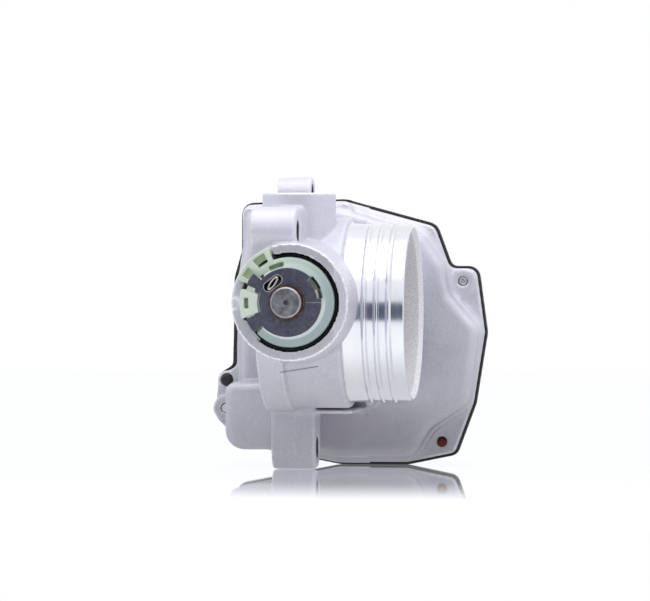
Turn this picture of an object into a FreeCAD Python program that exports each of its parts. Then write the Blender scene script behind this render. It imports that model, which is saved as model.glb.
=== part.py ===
"""Electronic throttle body: parametric FreeCAD model, millimetres.

Origin: axis of the throttle bore in the plane of the manifold face.
+X runs along the duct towards the hose spigot, +Z is up, and the throttle shaft lies along Y:
the spring side is at -Y and the gear case at +Y.
"""
import FreeCAD, Part
import math
import os
import re

import Sketcher
from FreeCAD import Placement, Rotation, Vector

doc = FreeCAD.newDocument("throttle_body")

# ---------------------------------------------------------------- driving dimensions
# alias, value in mm (or degrees, or a count), what it is
DRIVING = [
    ("bore_d", 46.0, "throttle bore"),
    ("shaft_x", 13.0, "manifold face to throttle shaft axis"),
    ("shaft_d", 10.0, "throttle shaft"),
    ("shaft_gap", 0.05, "radial running gap round shafts and axles"),
    ("duct_drop", 4.0, "spigot axis below the throttle axis"),
    ("duct_r", 31.3, "cast duct outside"),
    ("flange_r", 35.5, "manifold flange disc"),
    ("flange_thk", 8.5, "manifold flange thickness"),
    ("gasket_r", 24.0, "counterbore at the manifold face"),
    ("gasket_len", 6.0, "counterbore depth"),
    ("spigot_r", 29.2, "turned spigot outside"),
    ("spigot_bore_r", 26.5, "spigot inside"),
    ("spigot_start", 27.0, "start of the turned spigot"),
    ("spigot_end", 47.8, "spigot rim"),
    ("bead_r", 30.0, "hose bead crest"),
    ("bead_first", 34.8, "first bead from the manifold face"),
    ("bead_pitch", 3.95, "bead spacing"),
    ("bead_flat", 0.6, "flat on a bead crest"),
    ("ring_r", 18.9, "spring boss outside at its face"),
    ("ring_face", 46.0, "spring boss face, in front of the duct axis"),
    ("well_r", 15.8, "spring well"),
    ("well_floor", 36.2, "floor of the spring well, in front of the duct axis"),
    ("ear_hole_d", 7.0, "mounting hole for an M6 bolt"),
    ("ear_len", 14.6, "mounting ear length"),
    ("ear_front_r", 7.8, "front ear"),
    ("ear_front_y", -36.3, "front ear hole"),
    ("ear_front_z", 22.7, "front ear hole"),
    ("ear_rear_r", 6.0, "rear ear"),
    ("ear_rear_y", 23.3, "rear ear hole"),
    ("ear_rear_z", 35.1, "rear ear hole"),
    ("ear_low_r", 7.3, "lower ear"),
    ("ear_low_y", 10.7, "lower ear hole"),
    ("ear_low_z", -48.7, "lower ear hole"),
    ("top_boss_d", 24.0, "vertical boss on the duct"),
    ("top_boss_x", 11.5, "vertical boss axis"),
    ("top_boss_y", -12.0, "vertical boss axis"),
    ("top_boss_z", 35.3, "vertical boss face"),
    ("case_front", 37.0, "front of the gear case"),
    ("case_floor", 41.0, "floor inside the gear case"),
    ("case_lip", 44.0, "front of the gear case flange"),
    ("seal_face", 47.6, "joint face of the gear case flange"),
    ("case_wall", 3.0, "gear case wall"),
    ("seal_thk", 0.8, "seal between case and cover"),
    ("cover_rim", 3.0, "cover rim thickness"),
    ("cover_back", 62.0, "back of the cover"),
    ("cover_wall", 2.2, "cover wall"),
    ("motor_x", -5.6, "motor axis"),
    ("motor_z", -38.6, "motor axis"),
    ("motor_d", 18.0, "motor can"),
    ("motor_len", 24.0, "motor can length"),
    ("motor_gap", 0.25, "gap round the motor can"),
    ("motor_shaft_d", 2.0, "motor shaft"),
    ("idler_d", 4.0, "intermediate gear axle"),
    ("fine_module", 0.8, "module of motor pinion and wheel"),
    ("pinion_teeth", 11, "motor pinion teeth"),
    ("wheel_teeth", 36, "intermediate wheel teeth"),
    ("coarse_module", 1.0, "module of small gear and sector"),
    ("small_teeth", 12, "small intermediate gear teeth"),
    ("sector_teeth", 42, "full count of the sector gear"),
    ("gear_backlash", 0.16, "tooth thinning along the pitch circle"),
    ("plate_thk", 1.6, "throttle plate thickness"),
    ("plate_gap", 0.08, "gap between plate edge and bore"),
    ("closed_angle", 7.0, "plate tilt when closed, degrees"),
    ("cap_thk", 1.2, "retaining plate thickness"),
    ("cap_face", 51.6, "retaining plate face, in front of the duct axis"),
    ("cap_r", 11.0, "retaining plate"),
    ("cap_arm_r", 14.2, "retaining plate arms"),
    ("bush_wall", 0.8, "bronze bush wall"),
    ("shaft_front", 55.0, "front end of the throttle shaft"),
    ("sleeve_r", 14.5, "spring sleeve outside"),
    ("sleeve_face", 46.8, "spring sleeve face"),
    ("sleeve_back", 38.8, "spring sleeve rear end"),
    ("wire_d", 1.15, "spring wire"),
    ("spring_turns", 4.5, "turns of the return spring"),
    ("screw_d", 3.2, "cover screw"),
    ("screw_gap", 0.05, "gap round cover screws"),
]

sheet = doc.addObject("Spreadsheet::Sheet", "sizes")
for row, (alias, value, note) in enumerate(DRIVING, start=1):
    sheet.set(f"A{row}", alias)
    sheet.set(f"B{row}", str(value))
    sheet.set(f"C{row}", note)
    sheet.setAlias(f"B{row}", alias)
doc.recompute()
ALIASES = {alias for alias, _, _ in DRIVING}


def dim(alias):
    """Value of one cell, for shapes that are worked out in code."""
    return float(sheet.get(alias))


def bind(obj, prop, text):
    """Bind a property to an expression written with plain alias names."""

    def cell(word):
        name = word.group(0)
        return f"sizes.{name}" if name in ALIASES else name

    obj.setExpression(prop, re.sub(r"[a-z][a-z_]*", cell, str(text)))


def move(obj, x=0, y=0, z=0):
    for letter, text in zip("xyz", (x, y, z)):
        bind(obj, f"Placement.Base.{letter}", text)
    return obj


# turns that lay a primitive's Z axis along a row axis
ALONG = {
    "x": Rotation(Vector(0, 1, 0), 90),
    "y": Rotation(Vector(1, 0, 0), -90),
    "z": Rotation(),
}


def rod(name, radius, length, x, y, z, axis):
    """Cylinder that starts at x, y, z and runs along +axis."""
    obj = doc.addObject("Part::Cylinder", name)
    obj.Placement = Placement(Vector(), ALONG[axis])
    bind(obj, "Radius", radius)
    bind(obj, "Height", length)
    return move(obj, x, y, z)


def taper(name, radius_a, radius_b, length, x, y, z, axis):
    obj = doc.addObject("Part::Cone", name)
    obj.Placement = Placement(Vector(), ALONG[axis])
    bind(obj, "Radius1", radius_a)
    bind(obj, "Radius2", radius_b)
    bind(obj, "Height", length)
    return move(obj, x, y, z)


def block(name, x, y, z, length_x, length_y, length_z):
    """Box with its lowest corner at x, y, z."""
    obj = doc.addObject("Part::Box", name)
    bind(obj, "Length", length_x)
    bind(obj, "Width", length_y)
    bind(obj, "Height", length_z)
    return move(obj, x, y, z)


def fuse(name, *parts):
    obj = doc.addObject("Part::MultiFuse", name)
    obj.Shapes = list(parts)
    obj.Refine = True
    return obj


def cut(name, base, *tools):
    tool = tools[0] if len(tools) == 1 else fuse(name + "_tools", *tools)
    obj = doc.addObject("Part::Cut", name)
    obj.Base = base
    obj.Tool = tool
    obj.Refine = True
    return obj


def common(name, *parts):
    obj = doc.addObject("Part::MultiCommon", name)
    obj.Shapes = list(parts)
    obj.Refine = True
    return obj


def soften(name, base, radius, picks):
    """Fillet the edges of base that picks(edge) accepts."""
    doc.recompute()
    edges = [i for i, edge in enumerate(base.Shape.Edges, start=1) if picks(edge)]
    if not edges:
        raise RuntimeError(f"{name}: no edges to fillet")
    obj = doc.addObject("Part::Fillet", name)
    obj.Base = base
    obj.Edges = [(i, radius, radius) for i in edges]
    return obj


def in_plane_y(y):
    """Edge test: the whole edge lies in the plane Y = y."""
    return lambda edge: abs(edge.BoundBox.YMin - y) < 1e-4 and abs(edge.BoundBox.YMax - y) < 1e-4


def in_plane_x(x):
    return lambda edge: abs(edge.BoundBox.XMin - x) < 1e-4 and abs(edge.BoundBox.XMax - x) < 1e-4


def turned(name, profile, x=0, y=0, z=0, axis="y"):
    """PartDesign body revolved about an axis: profile is (radius, distance along the axis) corners."""
    body = doc.addObject("PartDesign::Body", name)
    plane = next(f for f in body.Origin.OriginFeatures if f.Role == "XY_Plane")
    sketch = body.newObject("Sketcher::SketchObject", name + "_profile")
    sketch.AttachmentSupport = (plane, [""])
    sketch.MapMode = "FlatFace"
    corners = [Vector(evaluate(radius), evaluate(along), 0) for radius, along in profile]
    for i, corner in enumerate(corners):
        sketch.addGeometry(Part.LineSegment(corner, corners[(i + 1) % len(corners)]), False)
    for i in range(len(corners)):
        sketch.addConstraint(Sketcher.Constraint("Coincident", i, 2, (i + 1) % len(corners), 1))
    for i, (radius, along) in enumerate(profile):
        if abs(corners[i].x) < 1e-9:
            sketch.addConstraint(Sketcher.Constraint("PointOnObject", i, 1, -2))
        else:
            index = sketch.addConstraint(Sketcher.Constraint("DistanceX", -1, 1, i, 1, corners[i].x))
            bind(sketch, f"Constraints[{index}]", radius)
        if abs(corners[i].y) < 1e-9:
            sketch.addConstraint(Sketcher.Constraint("PointOnObject", i, 1, -1))
        else:
            index = sketch.addConstraint(Sketcher.Constraint("DistanceY", -1, 1, i, 1, corners[i].y))
            bind(sketch, f"Constraints[{index}]", along)
    revolution = body.newObject("PartDesign::Revolution", name + "_turned")
    revolution.Profile = sketch
    revolution.ReferenceAxis = (sketch, ["V_Axis"])
    revolution.Angle = 360
    sketch.Visibility = False
    if axis == "x":
        body.Placement = Placement(Vector(), Rotation(Vector(0, 0, 1), -90))
    if axis == "z":
        body.Placement = Placement(Vector(), Rotation(Vector(1, 0, 0), 90))
    return move(body, x, y, z)


def evaluate(text):
    """Value of an expression written with alias names: sums, products and quotients of cells."""
    holder = doc.addObject("App::FeaturePython", "holder")
    holder.addProperty("App::PropertyFloat", "Value")
    bind(holder, "Value", text)
    doc.recompute([holder])
    value = holder.Value
    doc.removeObject(holder.Name)
    return value


def tube(name, outer, inner, start, end, x=0, y=0, z=0, axis="y"):
    """Ring between two places along its axis."""
    return turned(name, [(inner, start), (outer, start), (outer, end), (inner, end)], x, y, z, axis)


def rounded_wire(corners, y):
    """Closed outline in the plane Y = y from (x, z, corner radius) points, in order round it."""
    edges = []
    ends = []
    count = len(corners)
    for i, (x, z, radius) in enumerate(corners):
        here = Vector(x, y, z)
        before = Vector(corners[i - 1][0], y, corners[i - 1][1])
        after = Vector(corners[(i + 1) % count][0], y, corners[(i + 1) % count][1])
        to_before = (before - here).normalize()
        to_after = (after - here).normalize()
        half = to_before.getAngle(to_after) / 2
        reach = radius / math.tan(half)
        start = here + to_before * reach
        end = here + to_after * reach
        toward = (to_before + to_after).normalize()
        middle = here + toward * (radius / math.sin(half) - radius)
        ends.append((start, middle, end))
    for i, (start, middle, end) in enumerate(ends):
        if (end - start).Length > 1e-6:
            edges.append(Part.Arc(start, middle, end).toShape())
        edges.append(Part.LineSegment(end, ends[(i + 1) % count][0]).toShape())
    return Part.Wire(edges)


def outline(name, corners, y, grow=0.0):
    """Flat face from an outline, moved outwards by grow."""
    wire = rounded_wire(corners, y)
    if grow:
        wire = wire.makeOffset2D(grow)
    obj = doc.addObject("Part::Feature", name)
    obj.Shape = Part.Face(wire)
    return obj


def slab(name, face, length):
    """Face pushed along +Y."""
    obj = doc.addObject("Part::Extrusion", name)
    obj.Base = face
    obj.Dir = Vector(0, 1, 0)
    obj.DirMode = "Custom"
    bind(obj, "LengthFwd", length)
    obj.Solid = True
    return obj


def wedge(name, radius_in, radius_out, angle_from, angle_to, y_from, y_to):
    """Sector of a ring about the throttle shaft; angles run from +X towards +Z, seen from -Y."""
    centre = Vector(dim("shaft_x"), 0, 0)

    def at(radius, angle):
        turn = math.radians(angle)
        return centre + Vector(radius * math.cos(turn), y_from, radius * math.sin(turn))

    middle = (angle_from + angle_to) / 2
    edges = [
        Part.Arc(at(radius_out, angle_from), at(radius_out, middle), at(radius_out, angle_to)).toShape(),
        Part.LineSegment(at(radius_out, angle_to), at(radius_in, angle_to)).toShape(),
        Part.Arc(at(radius_in, angle_to), at(radius_in, middle), at(radius_in, angle_from)).toShape(),
        Part.LineSegment(at(radius_in, angle_from), at(radius_out, angle_from)).toShape(),
    ]
    obj = doc.addObject("Part::Feature", name)
    obj.Shape = Part.Face(Part.Wire(edges)).extrude(Vector(0, y_to - y_from, 0))
    return obj


SUBPARTS = []


def subpart(label, obj):
    """Names a finished piece; its label is its file's name."""
    obj.Label = label
    SUBPARTS.append(obj)
    return obj


def group(label, shapes):
    """Several like solids as one piece."""
    obj = doc.addObject("Part::Feature", label)
    obj.Shape = Part.makeCompound(shapes)
    return subpart(label, obj)


SX = "shaft_x"

# ---------------------------------------------------------------- outlines of the gear case, (x, z, radius)
COVER_OUTLINE = [
    (-16.5, 32.4, 4.0), (18.8, 33.8, 6.0), (50.1, 25.3, 4.6), (55.3, 11.2, 2.5), (64.3, 11.2, 4.0),
    (67.3, -11.2, 3.0), (63.5, -35.1, 3.0), (57.0, -52.6, 3.3), (40.5, -56.0, 3.0), (17.0, -56.0, 5.0),
    (-16.1, -49.6, 4.0), (-25.5, -40.2, 3.5), (-24.6, -25.6, 3.0), (-19.6, -22.4, 2.0), (-19.1, 7.5, 6.0),
    (-16.5, 16.5, 6.0),
]
CASE_OUTLINE = [
    (-13.8, 29.6, 3.5), (18.5, 30.4, 8.0), (45.5, 23.0, 8.0), (53.4, 11.5, 6.0), (55.2, 2.0, 5.0),
    (65.0, -9.5, 5.0), (62.0, -34.8, 6.0), (49.0, -43.9, 7.0), (43.5, -53.0, 5.5), (17.0, -53.2, 9.0),
    (-8.0, -49.2, 4.0), (-16.6, -47.0, 5.0), (-15.4, -20.0, 4.0), (-15.2, 10.0, 8.0), (-13.8, 19.0, 8.0),
]
# the flange follows the cover, but stands further in on the side away from the spigot
RIM_OUTLINE = COVER_OUTLINE[:-3] + [(-18.3, -22.4, 2.0), (-17.9, 7.5, 6.0), (-16.1, 16.5, 6.0)]
DOME_OUTLINE = [
    (-3.0, 17.0, 8.0), (24.0, 19.0, 8.0), (42.0, 12.0, 8.0), (53.0, -8.0, 8.0), (52.0, -37.0, 6.0),
    (40.0, -48.5, 6.0), (16.0, -49.5, 8.0), (-15.6, -45.6, 5.0), (-15.6, -30.0, 6.0), (-9.5, 0.0, 8.0),
]
BULGE_OUTLINE = [(-17.5, -27.4, 3.6), (10.0, -27.4, 3.6), (10.0, -49.9, 3.6), (-17.5, -49.9, 6.5)]
# screws through the cover: x, z, and whether the hole comes out at the front of the flange
COVER_SCREWS = [
    (59.4, 6.2, True), (52.3, -48.2, True), (-21.4, -36.9, True), (-12.4, 28.2, False), (19.6, 30.0, False),
]
PEG = (-21.0, -27.4)
PEG_R = 1.95
RIM_SETBACK = 0.7
CASE_FRONT_ROUND = 3.0
BULGE_FRONT = 15.0
BULGE_ROUND = 3.2

# ---------------------------------------------------------------- throttle housing
duct = rod("duct", "duct_r", "spigot_start", 0, 0, "-duct_drop", "x")
flange = rod("manifold_flange", "flange_r", "flange_thk", 0, 0, -1, "x")
spigot_profile = [
    (0, "spigot_start-4"), ("spigot_r+1.2", "spigot_start-4"), ("spigot_r+1.2", "spigot_start+0.3"),
    ("spigot_r+0.35", "spigot_start+0.9"), ("spigot_r", "spigot_start+2"),
]
for bead in range(3):
    middle = f"bead_first+{bead}*bead_pitch"
    spigot_profile += [
        ("spigot_r", f"{middle}-bead_flat/2-0.65"), ("bead_r", f"{middle}-bead_flat/2"),
        ("bead_r", f"{middle}+bead_flat/2"), ("spigot_r", f"{middle}+bead_flat/2+0.65"),
    ]
spigot_profile += [
    ("spigot_r", "spigot_end-0.7"), ("spigot_r-0.6", "spigot_end"), (0, "spigot_end"),
]
spigot = turned("spigot", spigot_profile, 0, 0, "-duct_drop", "x")
# the boss hangs out past the manifold face only in front of the flange
spring_boss = cut(
    "spring_boss",
    taper("spring_boss_cone", "ring_r", "ring_r+1.4", "ring_face-18", SX, "-ring_face", 0, "y"),
    block("manifold_side", -30, "2.2-well_floor", -30, 30, 30, 60),
)
front_ear = fuse(
    "front_ear",
    rod("front_ear_barrel", "ear_front_r", "ear_len", 0, "ear_front_y", "ear_front_z", "x"),
    block("front_ear_web", 0, "ear_front_y", "ear_front_z-ear_front_r", "ear_len", 24, "2*ear_front_r"),
)
rear_ear = fuse(
    "rear_ear",
    taper("rear_ear_barrel", "ear_rear_r-0.5", "ear_rear_r", "ear_len-3.2", 0, "ear_rear_y", "ear_rear_z", "x"),
    block("rear_ear_web", 0, "ear_rear_y-ear_rear_r+0.6", 15, "ear_len-3.2", "2*ear_rear_r-1.2", "ear_rear_z-15"),
)
low_ear = fuse(
    "low_ear",
    rod("low_ear_barrel", "ear_low_r", "ear_len", 0, "ear_low_y", "ear_low_z", "x"),
    block("low_ear_web", 0, "ear_low_y-ear_low_r", "ear_low_z", "ear_len", "2*ear_low_r", "-ear_low_z-24"),
)
top_boss = rod("top_boss", "top_boss_d/2", "top_boss_z-4", "top_boss_x", "top_boss_y", 4, "z")

EAR_ROUND = 1.2
front_ear = soften("front_ear_soft", front_ear, EAR_ROUND, in_plane_x(dim("ear_len")))
rear_ear = soften("rear_ear_soft", rear_ear, EAR_ROUND / 2, in_plane_x(dim("ear_len") - 3.2))
low_ear = soften("low_ear_soft", low_ear, EAR_ROUND, in_plane_x(dim("ear_len")))
case_wall_face = outline("case_wall_face", CASE_OUTLINE, dim("case_front"))
case_walls = soften(
    "case_walls", slab("case_wall_slab", case_wall_face, "case_lip-case_front"), CASE_FRONT_ROUND,
    in_plane_y(dim("case_front")),
)
case_step = slab(
    "case_step", outline("case_step_face", CASE_OUTLINE, dim("case_lip") - 1.6, 1.3), "1.6"
)
rim_face = outline("rim_face", RIM_OUTLINE, dim("case_lip"), -RIM_SETBACK)
case_rim = slab("case_rim", rim_face, "seal_face-case_lip")
bulge_face = outline("bulge_face", BULGE_OUTLINE, BULGE_FRONT)
motor_bulge = soften(
    "motor_bulge", slab("bulge_slab", bulge_face, f"case_lip-{BULGE_FRONT}"), BULGE_ROUND,
    in_plane_y(BULGE_FRONT),
)
bridge = block("bridge", 1, 8, -34, "spigot_start-2", "case_front-7", 58)
under_rib = block("under_rib", "flange_thk-1", 3, -37.4, "spigot_start-flange_thk+1", "case_front-2", 1.3)
rib_pad = rod("rib_pad", 2.2, "case_front-29", 29.3, 30, -33.6, "y")
pads = []
for number, (x, z, through) in enumerate(COVER_SCREWS[:3], start=1):
    pads.append(rod(f"screw_pad_{number}", "screw_d/2+2.6", "seal_face-case_lip+0.7", x, "case_lip-0.7", z, "y"))
pads.append(rod("peg_pad", PEG_R + 1.1, "seal_face-case_lip+0.3", PEG[0], "case_lip-0.3", PEG[1], "y"))
# a web ties each right-hand screw pad to the case wall
PAD_WEBS = [
    [(57.5, 9.0, 0.8), (62.0, 4.6, 0.8), (56.5, -2.5, 0.8), (52.5, 2.5, 0.8)],
    [(49.6, -51.0, 0.8), (55.2, -46.0, 0.8), (52.6, -39.5, 0.8), (46.5, -44.5, 0.8)],
]
for number, corners in enumerate(PAD_WEBS, start=1):
    web_face = outline(f"pad_web_face_{number}", corners, dim("case_lip") - 0.7)
    pads.append(slab(f"pad_web_{number}", web_face, "seal_face-case_lip+0.7"))
for number, (x, z, through) in enumerate(COVER_SCREWS, start=1):
    if not through:
        pads.append(rod(f"blind_pad_{number}", "screw_d/2+1", "seal_face-case_front-2.5", x, "case_front+2.5", z, "y"))
motor_hood = rod("motor_hood", "motor_d/2+motor_gap+1.6", f"case_lip-{BULGE_FRONT}-1", "motor_x",
                 BULGE_FRONT + 1, "motor_z", "y")

throttle_bore = rod("throttle_bore", "bore_d/2", 24, -1, 0, 0, "x")
gasket_bore = rod("gasket_bore", "gasket_r", "gasket_len+1", -1, 0, 0, "x")
FLARE_START = 20.0
FLARE_END = 31.0
bore_circle = Part.Wire(Part.Circle(Vector(FLARE_START, 0, 0), Vector(1, 0, 0), dim("bore_d") / 2).toShape())
mouth_circle = Part.Wire(
    Part.Circle(Vector(FLARE_END, 0, -dim("duct_drop")), Vector(1, 0, 0), dim("spigot_bore_r")).toShape()
)
flare = doc.addObject("Part::Feature", "flare")
flare.Shape = Part.makeLoft([bore_circle, mouth_circle], True, True)
mouth = rod("mouth", "spigot_bore_r", f"spigot_end+1-{FLARE_END}", FLARE_END, 0, "-duct_drop", "x")
mouth_edge = taper("mouth_edge", "spigot_bore_r", "spigot_bore_r+1.2", 1.2, "spigot_end-1.1", 0, "-duct_drop", "x")
ear_holes = [
    rod("front_ear_hole", "ear_hole_d/2", "ear_len+1.1", -1, "ear_front_y", "ear_front_z", "x"),
    rod("rear_ear_hole", "ear_hole_d/2", "ear_len+6", -1, "ear_rear_y", "ear_rear_z", "x"),
    rod("low_ear_hole", "ear_hole_d/2", "ear_len+6", -1, "ear_low_y", "ear_low_z", "x"),
]
well = rod("well", "well_r", "ring_face-well_floor+1", SX, "-ring_face-1", 0, "y")
# the boss wall is open over the sleeve's lugs and has a low step beside the opening
GAP_FROM, GAP_TO, STEP_TO, LAND_FROM, LAND_TO = 108.0, 176.0, 187.0, 202.5, 232.0
ring_face_y = -dim("ring_face")
lug_gap = wedge("lug_gap", 12, 20.4, GAP_FROM, GAP_TO, ring_face_y - 1, ring_face_y + 1.6)
lug_step = wedge("lug_step", 17.0, 20.4, GAP_TO - 0.01, STEP_TO, ring_face_y - 1, ring_face_y + 1.0)
land = wedge("land", dim("sleeve_r") + 0.35, dim("well_r") + 0.6, LAND_FROM, LAND_TO, ring_face_y, ring_face_y + 0.8)

# shaft passage, front to back: needle bearing, seal, duct, seal, ball bearing
REAR_SEAL_FROM, BALL_FROM, BALL_TO = 31.0, 36.0, 41.0
front_seat = rod("front_seat", "shaft_d/2+2", "well_floor-25+1", SX, "-well_floor-1", 0, "y")
passage = rod("passage", "shaft_d/2+0.15", "case_floor+30", SX, -30, 0, "y")
rear_seal_seat = rod("rear_seal_seat", "shaft_d/2+3", 8, SX, REAR_SEAL_FROM, 0, "y")
ball_seat = rod("ball_seat", "shaft_d/2+4.5", f"case_floor-{BALL_FROM}+1", SX, BALL_FROM, 0, "y")

pillars = [
    rod(f"pillar_{number}", "screw_d/2+2.4", 20, x, "case_floor-1", z, "y")
    for number, (x, z, through) in enumerate(COVER_SCREWS, start=1) if not through
]
case_room = cut(
    "case_room",
    slab("case_room_slab", outline("case_room_face", CASE_OUTLINE, dim("case_floor"), -dim("case_wall")), 12),
    *pillars,
)
motor_seat = rod("motor_seat", "motor_d/2+motor_gap", "case_floor-17+2", "motor_x", 17, "motor_z", "y")

# centre distances place the intermediate gear between the motor and the shaft
fine_reach = dim("fine_module") * (dim("pinion_teeth") + dim("wheel_teeth")) / 2
coarse_reach = dim("coarse_module") * (dim("small_teeth") + dim("sector_teeth")) / 2
motor_axis = Vector(dim("motor_x"), 0, dim("motor_z"))
shaft_axis = Vector(dim("shaft_x"), 0, 0)
span = (shaft_axis - motor_axis).Length
toward_shaft = math.atan2((shaft_axis - motor_axis).z, (shaft_axis - motor_axis).x)
swing = math.acos((fine_reach ** 2 + span ** 2 - coarse_reach ** 2) / (2 * fine_reach * span))
idler_angle = toward_shaft - swing
idler_axis = motor_axis + Vector(math.cos(idler_angle), 0, math.sin(idler_angle)) * fine_reach
IDLER_SEAT = 33.0
idler_seat = rod("idler_seat", "idler_d/2", f"case_floor-{IDLER_SEAT}+1", idler_axis.x, IDLER_SEAT, idler_axis.z, "y")

screw_holes = []
for number, (x, z, through) in enumerate(COVER_SCREWS, start=1):
    start = "case_lip-2" if through else "case_floor+1"
    screw_holes.append(
        rod(f"screw_hole_{number}", "screw_d/2+screw_gap", f"seal_face+1-({start})", x, start, z, "y")
    )
peg_hole = rod("peg_hole", PEG_R + 0.1, 8, PEG[0], "case_lip-2", PEG[1], "y")
idler_boss = rod("idler_boss", "idler_d/2+2.2", 5, idler_axis.x, "case_floor-4.5", idler_axis.z, "y")

casting = fuse(
    "casting", duct, flange, spigot, spring_boss, front_ear, rear_ear, low_ear, top_boss, case_walls, case_step,
    case_rim, motor_bulge, motor_hood, bridge, under_rib, rib_pad, *pads,
)
bored = cut(
    "bored", casting, throttle_bore, gasket_bore, flare, mouth, mouth_edge, *ear_holes, well, lug_gap, lug_step,
    front_seat, passage, rear_seal_seat, ball_seat, case_room, motor_seat, *screw_holes, peg_hole,
)
subpart("throttle_housing", cut("housing", fuse("housing_blank", bored, land, idler_boss), idler_seat))

# ---------------------------------------------------------------- shaft and throttle plate
TILT = Rotation(Vector(0, 1, 0), dim("closed_angle"))
shaft_front_y = -dim("shaft_front")
SHAFT_BACK = 48.2
SLOT_LENGTH = "bore_d+4"


def tilted(obj):
    """Turns a piece drawn across the duct by the closed angle, about the shaft axis."""
    obj.Placement = Placement(Vector(dim("shaft_x"), 0, 0), TILT).multiply(
        Placement(Vector(-dim("shaft_x"), 0, 0), Rotation()).multiply(obj.Placement)
    )
    return obj


shaft_bar = turned("shaft_bar", [
    (0.45, "0.9-shaft_front"), (1.1, "-shaft_front"), ("shaft_d/2-0.5", "-shaft_front"),
    ("shaft_d/2", "0.5-shaft_front"), ("shaft_d/2", f"{SHAFT_BACK}-0.4"),
    ("shaft_d/2-0.4", f"{SHAFT_BACK}"), (0, f"{SHAFT_BACK}"), (0, "1.7-shaft_front"), (0.3, "1.5-shaft_front"),
], SX)
PLATE_SCREW_Y = 10.0
slot = doc.addObject("Part::Box", "plate_slot")
bind(slot, "Length", "plate_thk")
bind(slot, "Width", "bore_d")
bind(slot, "Height", "shaft_d+4")
slot.Placement = Placement(
    Vector(dim("shaft_x") - dim("plate_thk") / 2, -dim("bore_d") / 2, -dim("shaft_d") / 2 - 2), Rotation()
)
tilted(slot)
screw_ways = []
for side in (-1, 1):
    for part_name, radius, start, length in (("way", 1.5, -6, 12), ("sink", 2.75, -6, 3)):
        way = doc.addObject("Part::Cylinder", f"plate_screw_{part_name}")
        way.Radius = radius
        way.Height = length
        way.Placement = Placement(Vector(dim("shaft_x") + start, side * PLATE_SCREW_Y, 0), ALONG["x"])
        screw_ways.append(tilted(way))
subpart("throttle_shaft", cut("shaft_cut", shaft_bar, slot, *screw_ways))

disc_blank = doc.addObject("Part::Box", "disc_blank")
bind(disc_blank, "Length", "plate_thk")
bind(disc_blank, "Width", "bore_d+4")
bind(disc_blank, "Height", "bore_d+4")
half_blank = dim("bore_d") / 2 + 2
disc_blank.Placement = Placement(
    Vector(dim("shaft_x") - dim("plate_thk") / 2, -half_blank, -half_blank), Rotation()
)
tilted(disc_blank)
bore_plug = rod("bore_plug", "bore_d/2-plate_gap", 24, "shaft_x-12", 0, 0, "x")
disc = common("disc", disc_blank, bore_plug)
subpart("throttle_plate", cut("disc_drilled", disc, screw_ways[0], screw_ways[2]))

plate_screws = []
for side in (-1, 1):
    shank = Part.makeCylinder(1.45, 6.6, Vector(-3.2, 0, 0), Vector(1, 0, 0))
    head = Part.makeCylinder(2.5, 1.5, Vector(-4.6, 0, 0), Vector(1, 0, 0))
    recess = Part.makePolygon([
        Vector(-4.7, 1.1 * math.cos(math.radians(60 * k)), 1.1 * math.sin(math.radians(60 * k)))
        for k in (0, 1, 2, 3, 4, 5, 0)
    ])
    screw = head.fuse(shank).cut(Part.Face(recess).extrude(Vector(1.1, 0, 0)))
    screw.Placement = Placement(Vector(dim("shaft_x"), side * PLATE_SCREW_Y, 0), TILT)
    plate_screws.append(screw)
group("plate_screws", plate_screws)

# ---------------------------------------------------------------- bearings and shaft seals
NEEDLE_FROM, NEEDLE_TO = -35.0, -27.0
NEEDLE_D, NEEDLES = 1.08, 16
subpart("needle_cup", tube(
    "needle_cup", "shaft_d/2+2", f"shaft_d/2+{NEEDLE_D}+0.12", NEEDLE_FROM, NEEDLE_TO, SX
))
needle_circle = dim("shaft_d") / 2 + 0.05 + NEEDLE_D / 2
needles = []
for k in range(NEEDLES):
    turn = 2 * math.pi * k / NEEDLES
    foot = Vector(dim("shaft_x") + needle_circle * math.cos(turn), NEEDLE_FROM + 0.6, needle_circle * math.sin(turn))
    needles.append(Part.makeCylinder(NEEDLE_D / 2, NEEDLE_TO - NEEDLE_FROM - 1.2, foot, Vector(0, 1, 0)))
group("needle_rollers", needles)
subpart("front_shaft_seal", turned("front_seal", [
    ("shaft_d/2+shaft_gap", -25.9), ("shaft_d/2+0.7", -26.6), ("shaft_d/2+2", -26.9), ("shaft_d/2+2", -25.1),
    ("shaft_d/2+0.6", -25.3), ("shaft_d/2+shaft_gap", -25.6),
], SX))
subpart("rear_shaft_seal", turned("rear_seal", [
    ("shaft_d/2+shaft_gap", 32.2), ("shaft_d/2+0.9", 31.2), ("shaft_d/2+3", 31.1), ("shaft_d/2+3", 35.0),
    ("shaft_d/2+1.2", 35.0), ("shaft_d/2+1.2", 33.2), ("shaft_d/2+shaft_gap", 32.6),
], SX))
RACE_IN, RACE_OUT = "shaft_d/2+1.2", "shaft_d/2+3.3"
subpart("ball_bearing_outer_ring", tube("outer_ring", "shaft_d/2+4.5", RACE_OUT, BALL_FROM, BALL_TO, SX))
subpart("ball_bearing_inner_ring", tube("inner_ring", RACE_IN, "shaft_d/2", BALL_FROM, BALL_TO, SX))
ball_circle = (evaluate(RACE_IN) + evaluate(RACE_OUT)) / 2
ball_r = (evaluate(RACE_OUT) - evaluate(RACE_IN)) / 2 - 0.03
BALLS = 11
ball_spots = [
    Vector(dim("shaft_x") + ball_circle * math.cos(2 * math.pi * k / BALLS), (BALL_FROM + BALL_TO) / 2,
           ball_circle * math.sin(2 * math.pi * k / BALLS))
    for k in range(BALLS)
]
group("ball_bearing_balls", [Part.makeSphere(ball_r, spot) for spot in ball_spots])
cage_blank = tube("cage_blank", ball_circle + 0.4, ball_circle - 0.4, BALL_FROM + 1.2, BALL_TO - 1.2, SX)


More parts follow.
